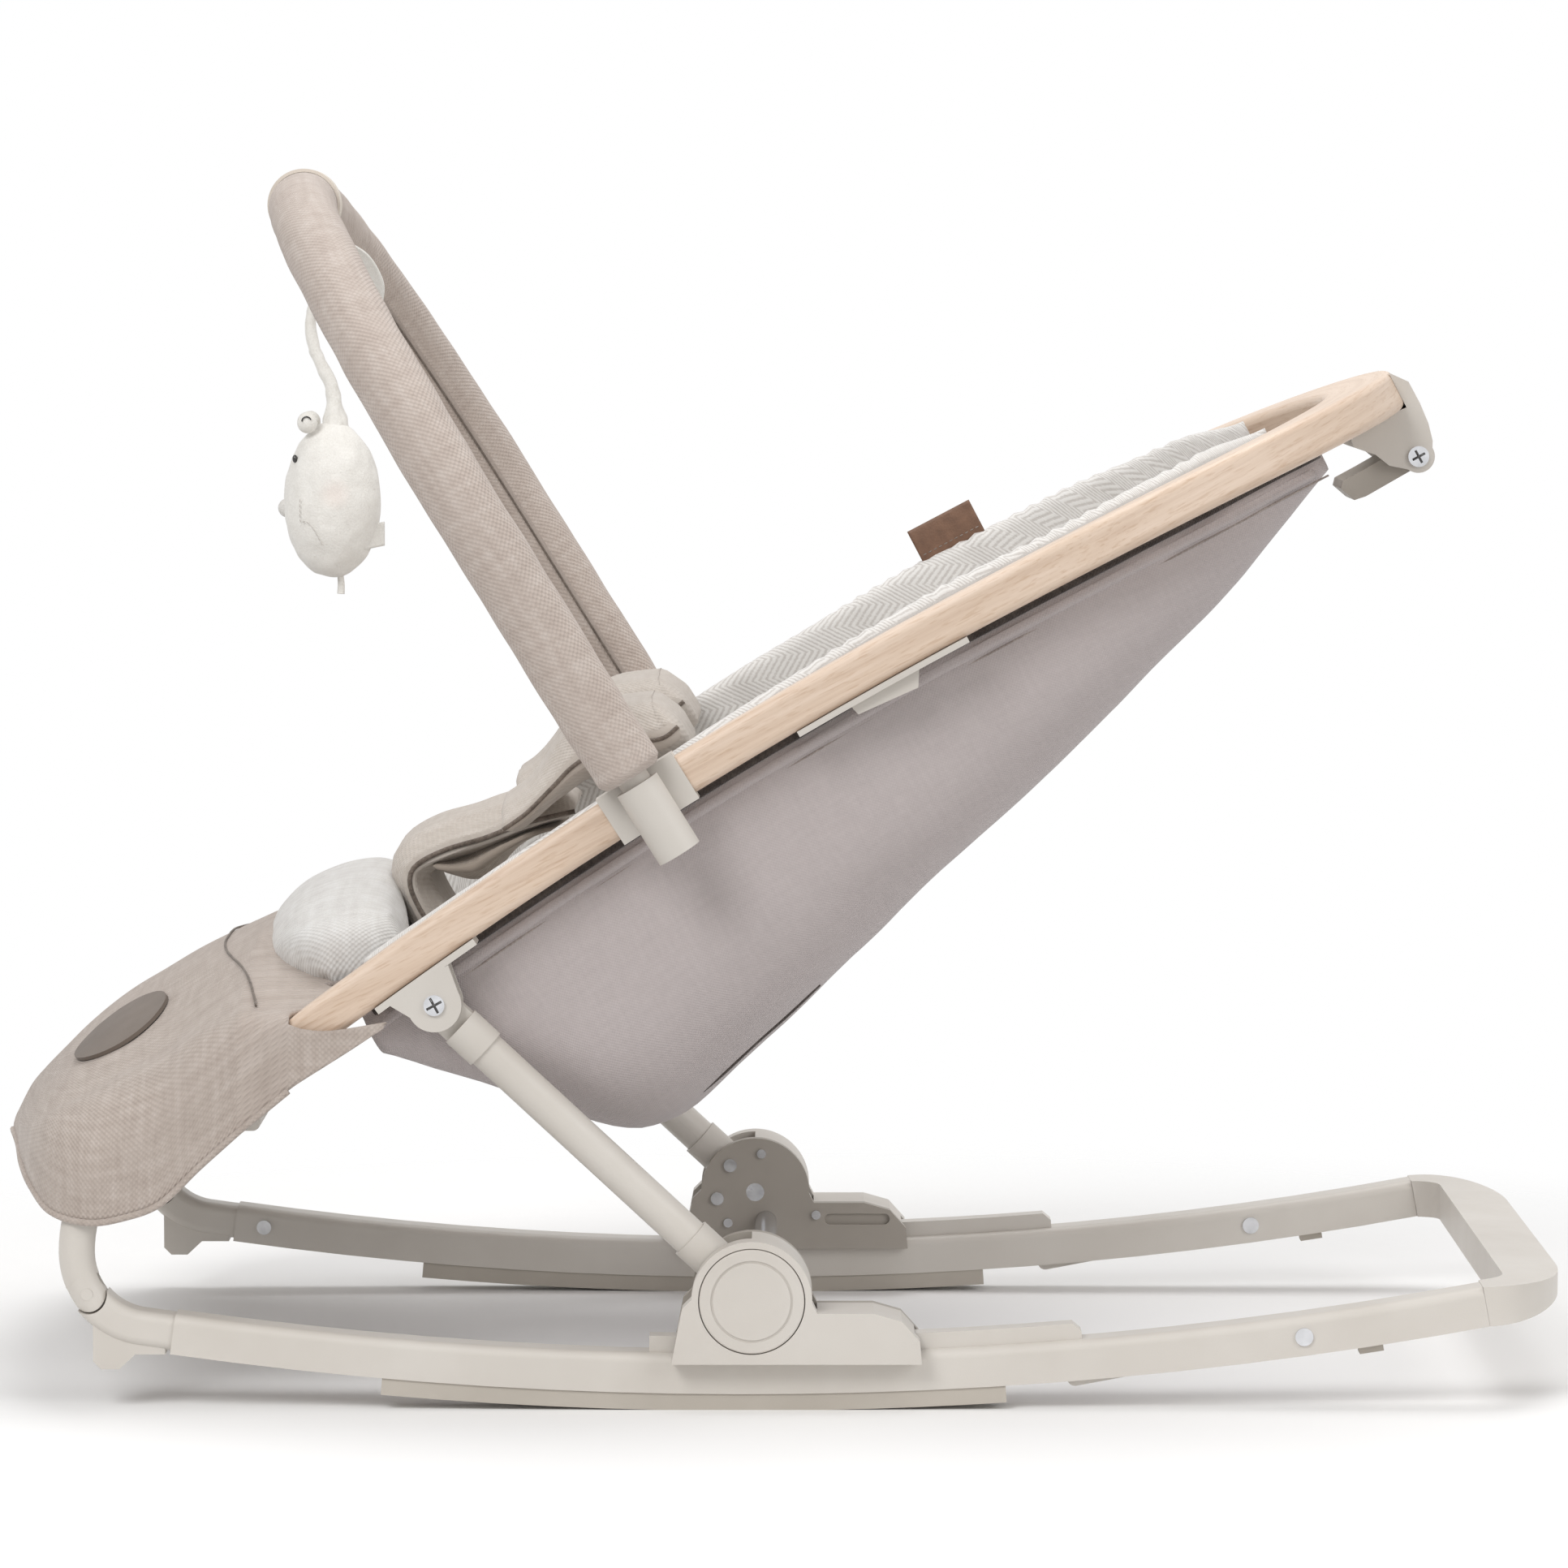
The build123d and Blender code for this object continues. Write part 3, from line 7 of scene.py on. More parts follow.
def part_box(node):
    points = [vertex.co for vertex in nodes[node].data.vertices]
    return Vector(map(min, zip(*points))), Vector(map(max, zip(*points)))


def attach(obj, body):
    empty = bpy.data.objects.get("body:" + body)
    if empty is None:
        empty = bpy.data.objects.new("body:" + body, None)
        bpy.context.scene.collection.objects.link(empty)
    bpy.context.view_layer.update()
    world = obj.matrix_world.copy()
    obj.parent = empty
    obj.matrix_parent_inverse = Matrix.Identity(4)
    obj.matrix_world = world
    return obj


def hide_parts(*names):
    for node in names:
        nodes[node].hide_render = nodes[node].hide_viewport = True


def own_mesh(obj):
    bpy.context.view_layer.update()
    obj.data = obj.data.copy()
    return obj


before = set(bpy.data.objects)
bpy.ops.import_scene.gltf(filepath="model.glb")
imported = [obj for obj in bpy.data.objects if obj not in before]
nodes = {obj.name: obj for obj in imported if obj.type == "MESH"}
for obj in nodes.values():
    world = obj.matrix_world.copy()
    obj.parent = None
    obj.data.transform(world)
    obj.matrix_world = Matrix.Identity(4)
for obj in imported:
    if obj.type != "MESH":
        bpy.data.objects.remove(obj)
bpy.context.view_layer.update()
scene = bpy.context.scene
collection = scene.collection

# Tilted frame of the seat, as in the solids, in metres
SEAT_X, SEAT_Z, SLOPE = 0.0146, 0.35, radians(27.8)
SEAT_COS, SEAT_SIN = cos(SLOPE), sin(SLOPE)
BOW_R, CROWN_X, CROWN_Z = 2.5, 0.105, 0.0148

def seat(x, y, z):
    """Point of the tilted frame, in the shared frame."""
    return Vector((SEAT_X + x * SEAT_COS - z * SEAT_SIN, y, SEAT_Z + x * SEAT_SIN + z * SEAT_COS))

def seat_xz(p):
    """Length and height of a point in the tilted frame."""
    dx, dz = p.x - SEAT_X, p.z - SEAT_Z
    return dx * SEAT_COS + dz * SEAT_SIN, dz * SEAT_COS - dx * SEAT_SIN

def wood_z(x):
    """Height of the wooden loop's bowed top line in the tilted frame."""
    return CROWN_Z - BOW_R + sqrt(BOW_R ** 2 - (x - CROWN_X) ** 2)

def steps(low, high, count):
    """Evenly spaced values from low to high."""
    return [low + (high - low) * i / (count - 1) for i in range(count)]

def circle(count):
    """Angles once round."""
    return [2 * pi * k / count for k in range(count)]

def quarter(y, z, radius, start, turn, count):
    """Points of a corner's arc, as (y, z)."""
    angles = [start + turn * k / count for k in range(count + 1)]
    return [Vector((y + radius * cos(a), z + radius * sin(a))) for a in angles]

def smooth(a, b, x):
    t = min(max((x - a) / (b - a), 0.0), 1.0)
    return t * t * (3 - 2 * t)

def table(rows, x):
    """Smooth line through a table's rows, by its first column."""
    if x <= rows[0][0]:
        return rows[0][1:]
    if x >= rows[-1][0]:
        return rows[-1][1:]
    i = max(k for k in range(len(rows) - 1) if rows[k][0] <= x)
    a, b = rows[i], rows[i + 1]
    before, after = rows[max(i - 1, 0)], rows[min(i + 2, len(rows) - 1)]
    h = b[0] - a[0]
    t = (x - a[0]) / h
    out = []
    for k in range(1, len(a)):
        ma = (b[k] - before[k]) / (b[0] - before[0]) * h
        mb = (after[k] - a[k]) / (after[0] - a[0]) * h
        near = (2*t**3 - 3*t*t + 1) * a[k] + (t**3 - 2*t*t + t) * ma
        out.append(near + (3*t*t - 2*t**3) * b[k] + (t**3 - t*t) * mb)
    return tuple(out)

def spread(points, count, closed=False):
    """Points evenly spaced along a line of points."""
    pts = [Vector(p) for p in points]
    if closed:
        pts.append(pts[0].copy())
    lengths = [0.0]
    for a, b in zip(pts, pts[1:]):
        lengths.append(lengths[-1] + (b - a).length)
    total = lengths[-1]
    out, k = [], 0
    for i in range(count):
        d = total * i / (count if closed else count - 1)
        while k < len(pts) - 2 and lengths[k + 1] < d:
            k += 1
        span = max(lengths[k + 1] - lengths[k], 1e-9)
        out.append(pts[k].lerp(pts[k + 1], (d - lengths[k]) / span))
    return out

def curve_through(points, count):
    """Smooth line through points, evenly spaced."""
    pts = [Vector(p) for p in points]
    out = []
    for i in range(len(pts) - 1):
        p0, p1, p2, p3 = pts[max(i - 1, 0)], pts[i], pts[i + 1], pts[min(i + 2, len(pts) - 1)]
        for k in range(16):
            t = k / 16
            square, cube = 2*p0 - 5*p1 + 4*p2 - p3, 3*p1 - p0 - 3*p2 + p3
            out.append(0.5 * (2 * p1 + (p2 - p0) * t + square * t*t + cube * t**3))
    out.append(pts[-1])
    return spread(out, count)

def mesh_object(name, verts, faces, uvs=None):
    mesh = bpy.data.meshes.new(name)
    mesh.from_pydata([tuple(v) for v in verts], [], faces)
    if uvs:
        layer = mesh.uv_layers.new(name="UVMap")
        for loop in mesh.loops:
            layer.data[loop.index].uv = uvs[loop.vertex_index]
    mesh.validate()
    for poly in mesh.polygons:
        poly.use_smooth = True
    obj = bpy.data.objects.new(name, mesh)
    collection.objects.link(obj)
    return obj

def grid_object(name, rows, closed=False, caps=False):
    """Skin over rows of points; closed joins each row's ends, caps fills the first and last rows."""
    n = len(rows[0])
    verts = [p for row in rows for p in row]
    uvs = []
    along = 0.0
    for r, row in enumerate(rows):
        if r:
            along += (row[n // 2] - rows[r - 1][n // 2]).length
        around = 0.0
        for k, p in enumerate(row):
            if k:
                around += (p - row[k - 1]).length
            uvs.append((along, around))
    faces = []
    for r in range(len(rows) - 1):
        for k in range(n if closed else n - 1):
            j = (k + 1) % n
            faces.append((r * n + k, r * n + j, (r + 1) * n + j, (r + 1) * n + k))
    if caps:
        last = (len(rows) - 1) * n
        faces.append(tuple(reversed(range(n))))
        faces.append(tuple(range(last, last + n)))
    return mesh_object(name, verts, faces, uvs)

def bake(obj, kind=None, **settings):
    """Keep the result of a new modifier, or of those in place, as the mesh and leave none on the piece."""
    if kind:
        mod = obj.modifiers.new(kind, kind)
        for key, value in settings.items():
            setattr(mod, key, value)
    bpy.context.view_layer.update()
    mesh = bpy.data.meshes.new_from_object(obj.evaluated_get(bpy.context.evaluated_depsgraph_get()))
    obj.modifiers.clear()
    old = obj.data
    obj.data = mesh
    bpy.data.meshes.remove(old)
    for poly in mesh.polygons:
        poly.use_smooth = True
    return obj

def outward(obj, weld=0.0):
    """Turn all faces outward, with points nearer than weld made one."""
    bm = bmesh.new()
    bm.from_mesh(obj.data)
    if weld:
        bmesh.ops.remove_doubles(bm, verts=bm.verts, dist=weld)
    bmesh.ops.recalc_face_normals(bm, faces=bm.faces)
    bm.to_mesh(obj.data)
    bm.free()
    return obj

def join(main, *others):
    """Make the others part of main's mesh."""
    bpy.ops.object.select_all(action="DESELECT")
    for piece in (main, *others):
        piece.select_set(True)
    bpy.context.view_layer.objects.active = main
    bpy.ops.object.join()
    return main

def tube(name, points, radius, sides=10):
    """Round cord or piping along points; radius is a number or a function of the share along."""
    rows = []
    n = len(points)
    up = Vector((0, 1, 0))
    for i, p in enumerate(points):
        tangent = (points[min(i + 1, n - 1)] - points[max(i - 1, 0)]).normalized()
        side = up - tangent * up.dot(tangent)
        if side.length < 1e-4:
            side = tangent.orthogonal()
        side.normalize()
        up = side
        other = tangent.cross(side)
        r = radius(i / (n - 1)) if callable(radius) else radius
        rows.append([p + (side * cos(a) + other * sin(a)) * r for a in circle(sides)])
    return outward(grid_object(name, rows, closed=True, caps=True))

def shift(obj, move):
    """Move each point along its normal by move(point)."""
    mesh = obj.data
    mesh.update()
    normals = [v.normal.copy() for v in mesh.vertices]
    for v, normal in zip(mesh.vertices, normals):
        v.co += normal * move(v.co)
    mesh.update()
    return obj

PUFF_FRAMES = 20

def puff(obj, pressure, cap, voxel):
    """Swell a pad as sewn cloth under pressure; no point moves farther than cap."""
    bake(obj, "REMESH", mode="VOXEL", voxel_size=voxel)
    base = [v.co.copy() for v in obj.data.vertices]
    mod = obj.modifiers.new("cloth", "CLOTH")
    mod.settings.use_pressure = True
    mod.settings.uniform_pressure_force = pressure
    mod.settings.effector_weights.gravity = 0
    mod.settings.quality = 5
    mod.point_cache.frame_start, mod.point_cache.frame_end = 1, PUFF_FRAMES
    for f in range(1, PUFF_FRAMES + 1):
        scene.frame_set(f)
    evaluated = obj.evaluated_get(bpy.context.evaluated_depsgraph_get())
    moved = [v.co.copy() for v in evaluated.data.vertices]
    obj.modifiers.clear()
    for v, a, b in zip(obj.data.vertices, base, moved):
        step = b - a
        v.co = a + step * min(1.0, cap / max(step.length, 1e-9))
    scene.frame_set(1)
    return bake(obj, "SUBSURF", levels=1)

# Materials
def srgb(r, g, b):
    """Colour of a screen's 0 to 255 values, as light."""
    lin = [c / 255 / 12.92 if c <= 10 else ((c / 255 + 0.055) / 1.055) ** 2.4 for c in (r, g, b)]
    return (*lin, 1.0)

WHITE, BLACK = (1, 1, 1, 1), (0, 0, 0, 1)

class Paint:
    """A node material being built."""

    def __init__(self, name, roughness, **sockets):
        self.mat = bpy.data.materials.new(name)
        self.mat.use_nodes = True
        self.tree = self.mat.node_tree
        self.bsdf = next(n for n in self.tree.nodes if n.type == "BSDF_PRINCIPLED")
        self.bsdf.inputs["Roughness"].default_value = roughness
        for key, value in sockets.items():
            self.bsdf.inputs[key.replace("_", " ")].default_value = value

    def node(self, kind, **values):
        made = self.tree.nodes.new(kind)
        for key, value in values.items():
            if hasattr(made, key):
                setattr(made, key, value)
            else:
                made.inputs[key].default_value = value
        return made

    def link(self, a, b):
        self.tree.links.new(a, b)

    def feed(self, made, values):
        """Set or link a node's inputs by their places."""
        for k, value in values.items():
            if isinstance(value, (int, float, tuple)):
                made.inputs[k].default_value = value
            else:
                self.link(value, made.inputs[k])

    def place(self, kind="Object", scale=(1, 1, 1)):
        source = self.node("ShaderNodeTexCoord").outputs[kind]
        mapping = self.node("ShaderNodeMapping", Scale=scale)
        self.link(source, mapping.inputs["Vector"])
        return mapping.outputs[0]

    def split(self, where):
        made = self.node("ShaderNodeSeparateXYZ")
        self.link(where, made.inputs[0])
        return made.outputs

    def combine(self, *values):
        made = self.node("ShaderNodeCombineXYZ")
        for value, socket in zip(values, made.inputs):
            self.link(value, socket)
        return made.outputs[0]

    def noise(self, where, scale, detail=3.0, rough=0.55):
        made = self.node("ShaderNodeTexNoise", Scale=scale, Detail=detail, Roughness=rough)
        self.link(where, made.inputs["Vector"])
        return made.outputs["Fac"]

    def math(self, how, a, b=None):
        made = self.node("ShaderNodeMath", operation=how)
        self.feed(made, {0: a} if b is None else {0: a, 1: b})
        return made.outputs[0]

    def plus(self, a, b):
        return self.math("ADD", a, b)

    def times(self, a, b):
        return self.math("MULTIPLY", a, b)

    def ramp(self, fac, *stops):
        made = self.node("ShaderNodeValToRGB")
        while len(made.color_ramp.elements) < len(stops):
            made.color_ramp.elements.new(0.5)
        for element, (pos, colour) in zip(made.color_ramp.elements, stops):
            element.position, element.color = pos, colour
        self.link(fac, made.inputs["Fac"])
        return made.outputs["Color"]

    def mix(self, fac, a, b, blend="MIX"):
        made = self.node("ShaderNodeMix", data_type="RGBA", blend_type=blend)
        self.feed(made, {0: fac, 6: a, 7: b})
        return made.outputs[2]

    def colour(self, output):
        self.link(output, self.bsdf.inputs["Base Color"])

    def bump(self, height, strength, distance):
        made = self.node("ShaderNodeBump", Strength=strength, Distance=distance)
        self.link(height, made.inputs["Height"])
        self.link(made.outputs[0], self.bsdf.inputs["Normal"])

    def rough(self, fac, low, high):
        made = self.node("ShaderNodeMapRange", **{"To Min": low, "To Max": high})
        self.link(fac, made.inputs["Value"])
        self.link(made.outputs[0], self.bsdf.inputs["Roughness"])

def moulded(name, colour, shade, grain, roughness):
    """Moulded or painted surface with a fine grain and slight clouding."""
    p = Paint(name, roughness)
    where = p.place()
    cloud = p.noise(where, 14.0)
    p.colour(p.ramp(cloud, (0.3, shade), (0.7, colour)))
    p.bump(p.noise(where, grain, 2.0), 0.12, 0.0004)
    p.rough(p.noise(where, 90.0), roughness - 0.06, roughness + 0.08)
    return p.mat

def woven(name, colours, pitch, depth, kind="UV", streak=0.5):
    """Plain weave of plain, dark and light threads; pitch is the thread spacing in metres."""
    plain, dark, light = (srgb(*c) for c in colours)
    p = Paint(name, 0.9, Sheen_Weight=0.25, Sheen_Roughness=0.5, Specular_IOR_Level=0.25)
    where = p.place(kind)
    k = pi / pitch
    x, y, z = p.split(where)
    across = p.plus(y, z) if kind == "Object" else y
    warp = p.math("SINE", p.times(x, k))
    weft = p.math("SINE", p.times(across, k))
    knot = p.times(warp, weft)
    thin, long = 0.35 / pitch, 0.06 / pitch
    threads = p.noise(p.place(kind, (thin, long, long)), 1.0, 2.0)
    cross = p.noise(p.place(kind, (long, thin, thin)), 1.0, 2.0)
    fleck = p.plus(p.times(threads, 0.5), p.times(cross, 0.5))
    tone = p.ramp(fleck, (0.5 - streak * 0.22, dark), (0.5, plain), (0.5 + streak * 0.22, light))
    # painted shade: the weave darker where the threads dip under each other
    shade = p.ramp(knot, (0.0, (0.86, 0.86, 0.86, 1)), (1.0, WHITE))
    p.colour(p.mix(0.55, tone, p.mix(1.0, tone, shade, "MULTIPLY")))
    height = p.plus(knot, p.times(p.noise(where, 60.0), 1.2))
    p.bump(height, 0.45, depth)
    return p.mat

def herringbone(name, colour, line, pitch, band):
    """Knitted herringbone along the piece's own lengths."""
    p = Paint(name, 0.92, Sheen_Weight=0.2, Sheen_Roughness=0.5, Specular_IOR_Level=0.2)
    x, y, z = p.split(p.place("UV"))
    slant = p.plus(x, p.math("PINGPONG", y, band))
    wave = p.math("SINE", p.times(slant, 2 * pi / pitch))
    fuzz = p.noise(p.place("UV"), 700.0, 2.0)
    both = p.plus(p.times(wave, 0.32), fuzz)
    p.colour(p.ramp(both, (0.22, line), (0.62, colour)))
    p.bump(both, 0.35, 0.0006)
    return p.mat

def plush(name, colour, dark, cheek=None):
    """Short pile; cheek is a faint round patch at (x, z) in its own colour."""
    p = Paint(name, 0.95, Sheen_Weight=0.45, Sheen_Roughness=0.4, Specular_IOR_Level=0.15)
    where = p.place()
    fine = p.noise(where, 900.0, 4.0, 0.7)
    clump = p.noise(where, 120.0, 3.0)
    pile = p.plus(p.times(fine, 0.6), p.times(clump, 0.4))
    tone = p.ramp(pile, (0.3, dark), (0.6, colour))
    if cheek:
        x, y, z = p.split(where)
        across = p.math("POWER", p.math("ABSOLUTE", p.math("SUBTRACT", x, cheek[0])), 2.0)
        rise = p.math("POWER", p.math("ABSOLUTE", p.math("SUBTRACT", z, cheek[1])), 2.0)
        near = p.times(p.math("SQRT", p.plus(across, rise)), 90.0)
        tone = p.mix(p.ramp(near, (0.25, (0.4, 0.4, 0.4, 1)), (0.85, BLACK)), tone, cheek[2])
    p.colour(tone)
    p.bump(p.plus(fine, clump), 0.5, 0.0012)
    return p.mat

HEAD_BEND_X = 0.1665

def beech():
    """Laminated beech: the grain follows the loop round its head."""
    p = Paint("beech_laminate", 0.42, Coat_Weight=0.12, Coat_Roughness=0.35)
    shifted = p.node("ShaderNodeVectorMath", operation="SUBTRACT")
    p.link(p.node("ShaderNodeTexCoord").outputs["Object"], shifted.inputs[0])
    shifted.inputs[1].default_value = (SEAT_X, 0, SEAT_Z)
    turned = p.node("ShaderNodeMapping", Rotation=(0, SLOPE, 0))
    p.link(shifted.outputs[0], turned.inputs["Vector"])
    x, y, z = p.split(turned.outputs[0])
    beyond = p.math("MAXIMUM", p.math("SUBTRACT", x, HEAD_BEND_X), 0.0)
    side = p.math("ABSOLUTE", y)
    across = p.math("SQRT", p.plus(p.times(beyond, beyond), p.times(side, side)))
    round_head = p.times(p.math("ARCTAN2", beyond, side), 0.15)
    along = p.plus(p.math("MINIMUM", x, HEAD_BEND_X), round_head)

    def stretched(*scales):
        return p.combine(*(p.times(way, scale) for way, scale in zip((along, across, z), scales)))

    fibres = stretched(5.0, 120.0, 260.0)
    grain = p.noise(fibres, 1.0, 5.0, 0.6)
    broad = p.noise(fibres, 0.18, 2.0)
    pores = p.noise(stretched(90.0, 900.0, 900.0), 1.0, 2.0)
    tone = p.ramp(grain, (0.3, srgb(199, 175, 154)), (0.5, srgb(214, 193, 173)), (0.72, srgb(225, 206, 189)))
    tone = p.mix(p.times(broad, 0.4), tone, srgb(204, 179, 159))
    pore_shade = p.ramp(pores, (0.32, (0.88, 0.83, 0.78, 1)), (0.46, WHITE))
    p.colour(p.mix(1.0, tone, pore_shade, "MULTIPLY"))
    p.bump(p.plus(grain, p.times(pores, 0.5)), 0.12, 0.0006)
    p.rough(grain, 0.36, 0.52)
    return p.mat

def metal(name, colour, roughness):
    p = Paint(name, roughness, Metallic=1.0)
    where = p.place(scale=(1, 30, 1))
    streaks = p.noise(where, 160.0)
    p.colour(p.ramp(streaks, (0.3, tuple(c * 0.82 for c in colour[:3]) + (1,)), (0.7, colour)))
    p.rough(streaks, roughness - 0.06, roughness + 0.12)
    return p.mat

def leather(name, colour, dark):
    p = Paint(name, 0.55)
    where = p.place()
    cells = p.node("ShaderNodeTexVoronoi", Scale=900.0)
    p.link(where, cells.inputs["Vector"])
    p.colour(p.ramp(p.noise(where, 140.0), (0.3, dark), (0.7, colour)))
    p.bump(cells.outputs["Distance"], 0.3, 0.0004)
    return p.mat

def bead(name, colour, dark):
    p = Paint(name, 0.18, Coat_Weight=0.6)
    p.colour(p.ramp(p.noise(p.place(), 200.0), (0.3, dark), (0.7, colour)))
    return p.mat

paint_grey = moulded("frame_paint", srgb(207, 202, 195), srgb(199, 193, 185), 1400.0, 0.42)
plastic_grey = moulded("moulded_plastic", srgb(205, 200, 193), srgb(197, 191, 183), 2400.0, 0.5)
inner_grey = moulded("inner_plastic", srgb(168, 161, 152), srgb(158, 151, 142), 2400.0, 0.55)
rubber = moulded("rubber_strip", srgb(186, 179, 169), srgb(174, 167, 157), 3200.0, 0.75)
badge_brown = moulded("badge_brown", srgb(112, 101, 92), srgb(96, 86, 78), 1800.0, 0.55)
steel = metal("bright_steel", srgb(222, 223, 226), 0.2)
wood = beech()

# Cloths: plain, dark and light thread colours, thread spacing and depth
TAUPE = (185, 176, 175), (180, 171, 170), (190, 181, 180)
BEIGE = (194, 181, 172), (182, 168, 159), (206, 195, 187)
DEEP_BEIGE = (184, 172, 163), (171, 158, 149), (197, 186, 178)
PALE_BEIGE = (200, 191, 182), (190, 180, 170), (210, 202, 194)
# darker colour of the strap's under layer, painted shade beneath the strap
UNDER_SHADE_BEIGE = (168, 156, 144), (154, 142, 131), (182, 170, 159)
PIPING_BROWN = (118, 107, 98), (100, 90, 82), (132, 121, 112)
HEM_GREY = (160, 149, 143), (146, 136, 130), (172, 162, 156)
# painted shadow colour for the dark cord under the wood; the closure's cord uses it too
SHADOW_AND_CLOSURE_DARK = (74, 66, 62), (62, 55, 51), (86, 78, 73)
KNIT_WHITE = (221, 219, 216), (211, 208, 205), (229, 228, 226)
THREAD_BROWN = (150, 140, 131), (132, 122, 113), (164, 154, 145)
THREAD_PALE = (214, 209, 203), (202, 197, 190), (224, 219, 213)
sling_cloth = woven("sling_taupe", TAUPE, 0.0009, 0.00025, streak=1.2)
melange = woven("melange_beige", BEIGE, 0.0015, 0.0006, streak=1.0)
boot_weave = woven("boot_weave", DEEP_BEIGE, 0.0015, 0.0006, streak=1.0)
harness_cloth = woven("harness_beige", PALE_BEIGE, 0.0014, 0.0005, streak=1.0)
under_layer_shade = woven("harness_under_shade", UNDER_SHADE_BEIGE, 0.0014, 0.0004, streak=0.7)
piping_cloth = woven("piping", PIPING_BROWN, 0.001, 0.0003)
hem_cloth = woven("hem_tape", HEM_GREY, 0.001, 0.0003)
# dark cloth: painted shadow in the groove under the wood, also used for the closure
shadow_and_closure_cloth = woven("painted_shadow_and_closure", SHADOW_AND_CLOSURE_DARK, 0.001, 0.0003)
cushion_cloth = woven("cushion_knit", KNIT_WHITE, 0.0016, 0.0005, "Object", streak=0.8)
thread = woven("sewing_thread", THREAD_BROWN, 0.0006, 0.0002, "Object")
soft_thread = woven("soft_thread", THREAD_PALE, 0.0006, 0.0002, "Object")
pad_cloth = herringbone("pad_herringbone", srgb(228, 226, 223), srgb(203, 199, 195), 0.0036, 0.012)
plush_white = plush("plush_white", srgb(244, 242, 237), srgb(228, 225, 218))
plush_grey = plush("plush_grey", srgb(226, 224, 220), srgb(206, 203, 198))
BLUSH = (-0.2281, 0.45, srgb(240, 224, 216))
plush_body = plush("plush_body", srgb(244, 242, 237), srgb(230, 227, 221), BLUSH)
tab_leather = leather("tab_leather", srgb(126, 94, 74), srgb(104, 76, 59))
# dark bead colour: the toy's eyes and ear marks, and painted shade in the screw recesses
bead_dark_and_recess_shade = bead("bead_dark_and_recess_shade", srgb(44, 40, 38), srgb(28, 26, 25))

def paint(obj, mat):
    obj.data.materials.clear()
    obj.data.materials.append(mat)

def finish_piece(obj, body, slot, mat, *stands_for):
    paint(obj, mat)
    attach(obj, body)
    if stands_for:
        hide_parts(*stands_for)
    return obj

def on_seat(obj, mat, *stands_for):
    return finish_piece(obj, "seat", "melange_beige", mat, *stands_for)

def on_toy(obj, mat, *stands_for):
    return finish_piece(obj, "toy", "plush_white", mat, *stands_for)

# Solids that keep their shape
def dress(mat, *names):
    for name in names:
        obj = nodes[name]
        for slot in obj.material_slots:
            slot.material = mat

SIDES = (("left", -1), ("right", 1))
PAINTED = "rocker_rail", "leg_tube", "front_elbow"
MOULDED = (
    "hub_housing", "leg_bracket", "toy_bar_clip", "hub_button",
    "leg_upper_knuckle", "leg_lower_disc", "kickstand",
)
dress(paint_grey, "rear_crossbar", "slide_tracks", "front_tube", "front_pivot_pins")
for side, sign in SIDES:
    dress(paint_grey, *(f"{part}_{side}" for part in PAINTED))
    dress(plastic_grey, *(f"{part}_{side}" for part in MOULDED))
dress(plastic_grey, "fabric_clips", "head_bracket", "front_yoke", "front_feet", "toy_bar_core")
dress(inner_grey, "hub_inner_covers", "latch_lever")
dress(rubber, "rocker_pads", "rear_bumpers")
dress(steel, "kickstand_pins", "rail_screws", "leg_pivot_bolts", "latch_pin", "hub_axles")
dress(steel, "hub_screws", "toy_pin", "sync_rod")
dress(wood, "wood_frame")
dress(badge_brown, "boot_badge")

# Sling: a hanging shell with soft folds; each row is length, share of the half width, depth
SLING_HALF, SLING_FRONT, SLING_BACK = 0.172, -0.268, 0.292
SLING_CORNER, SLING_CLOTH, SLING_FLAT_LENGTH = 0.07, 0.0022, 0.6
RIM_DROP, RIM_INSET = 0.0285, 0.026
SLING = [
    (SLING_FRONT, 0.97, 0.057), (-0.221, 0.98, 0.11), (-0.172, 1.0, 0.154), (-0.093, 1.0, 0.143),
    (-0.003, 0.99, 0.116), (0.072, 0.96, 0.096), (0.147, 0.925, 0.074), (0.222, 0.74, 0.051),
    (0.272, 0.48, 0.032), (SLING_BACK, 0.37, 0.025),
]

def sling_half(x):
    return SLING_HALF * table(SLING, x)[0]

def trough_row(half, top, bottom, corner, count):
    """Points across a trough from rim to rim, as (y, z)."""
    flat, z = half - corner, bottom + corner
    left, right = quarter(-flat, z, corner, pi, pi / 2, 12), quarter(flat, z, corner, 1.5 * pi, pi / 2, 12)
    return spread([Vector((-half, top)), *left, *right, Vector((half, top))], count)

def trough_at(x, inset, top):
    """Half width, rim, bottom and corner of the trough at a length, drawn in by inset."""
    share, depth = table(SLING, x)
    half = SLING_HALF * share
    height = wood_z(x) - 0.01 + depth
    corner = max(min(SLING_CORNER, 0.45 * height, 0.45 * half) - inset, 0.004)
    return half - inset, top, inset - depth, corner

rows = []
for x in steps(SLING_FRONT, SLING_BACK, 96):
    row = trough_row(*trough_at(x, 0.0, wood_z(x) - 0.013), 96)
    rim = wood_z(x) - RIM_DROP
    rows.append([seat(x, p.x * (1 - RIM_INSET * smooth(rim - 0.002, rim + 0.003, p.y)), p.y) for p in row])
sling = grid_object("sling_cloth", rows)

def sling_fold(p):
    """Creases pulled towards the front, broad drape and a fine unevenness."""
    x, z = seat_xz(p)
    depth = table(SLING, x)[1]
    low = smooth(0.25, 0.95, -z / max(depth, 0.02))
    front = 1.0 - smooth(-0.2, 0.05, x)
    pull = sin(46 * x + 22 * z + 3.0 * noise.noise(p * 9)) * (0.0016 * front * low)
    drape = sin(17 * x - 30 * z + 2.2 * noise.noise(p * 6)) * 0.0012 * low
    return pull + drape + 0.001 * noise.noise(p * 26)

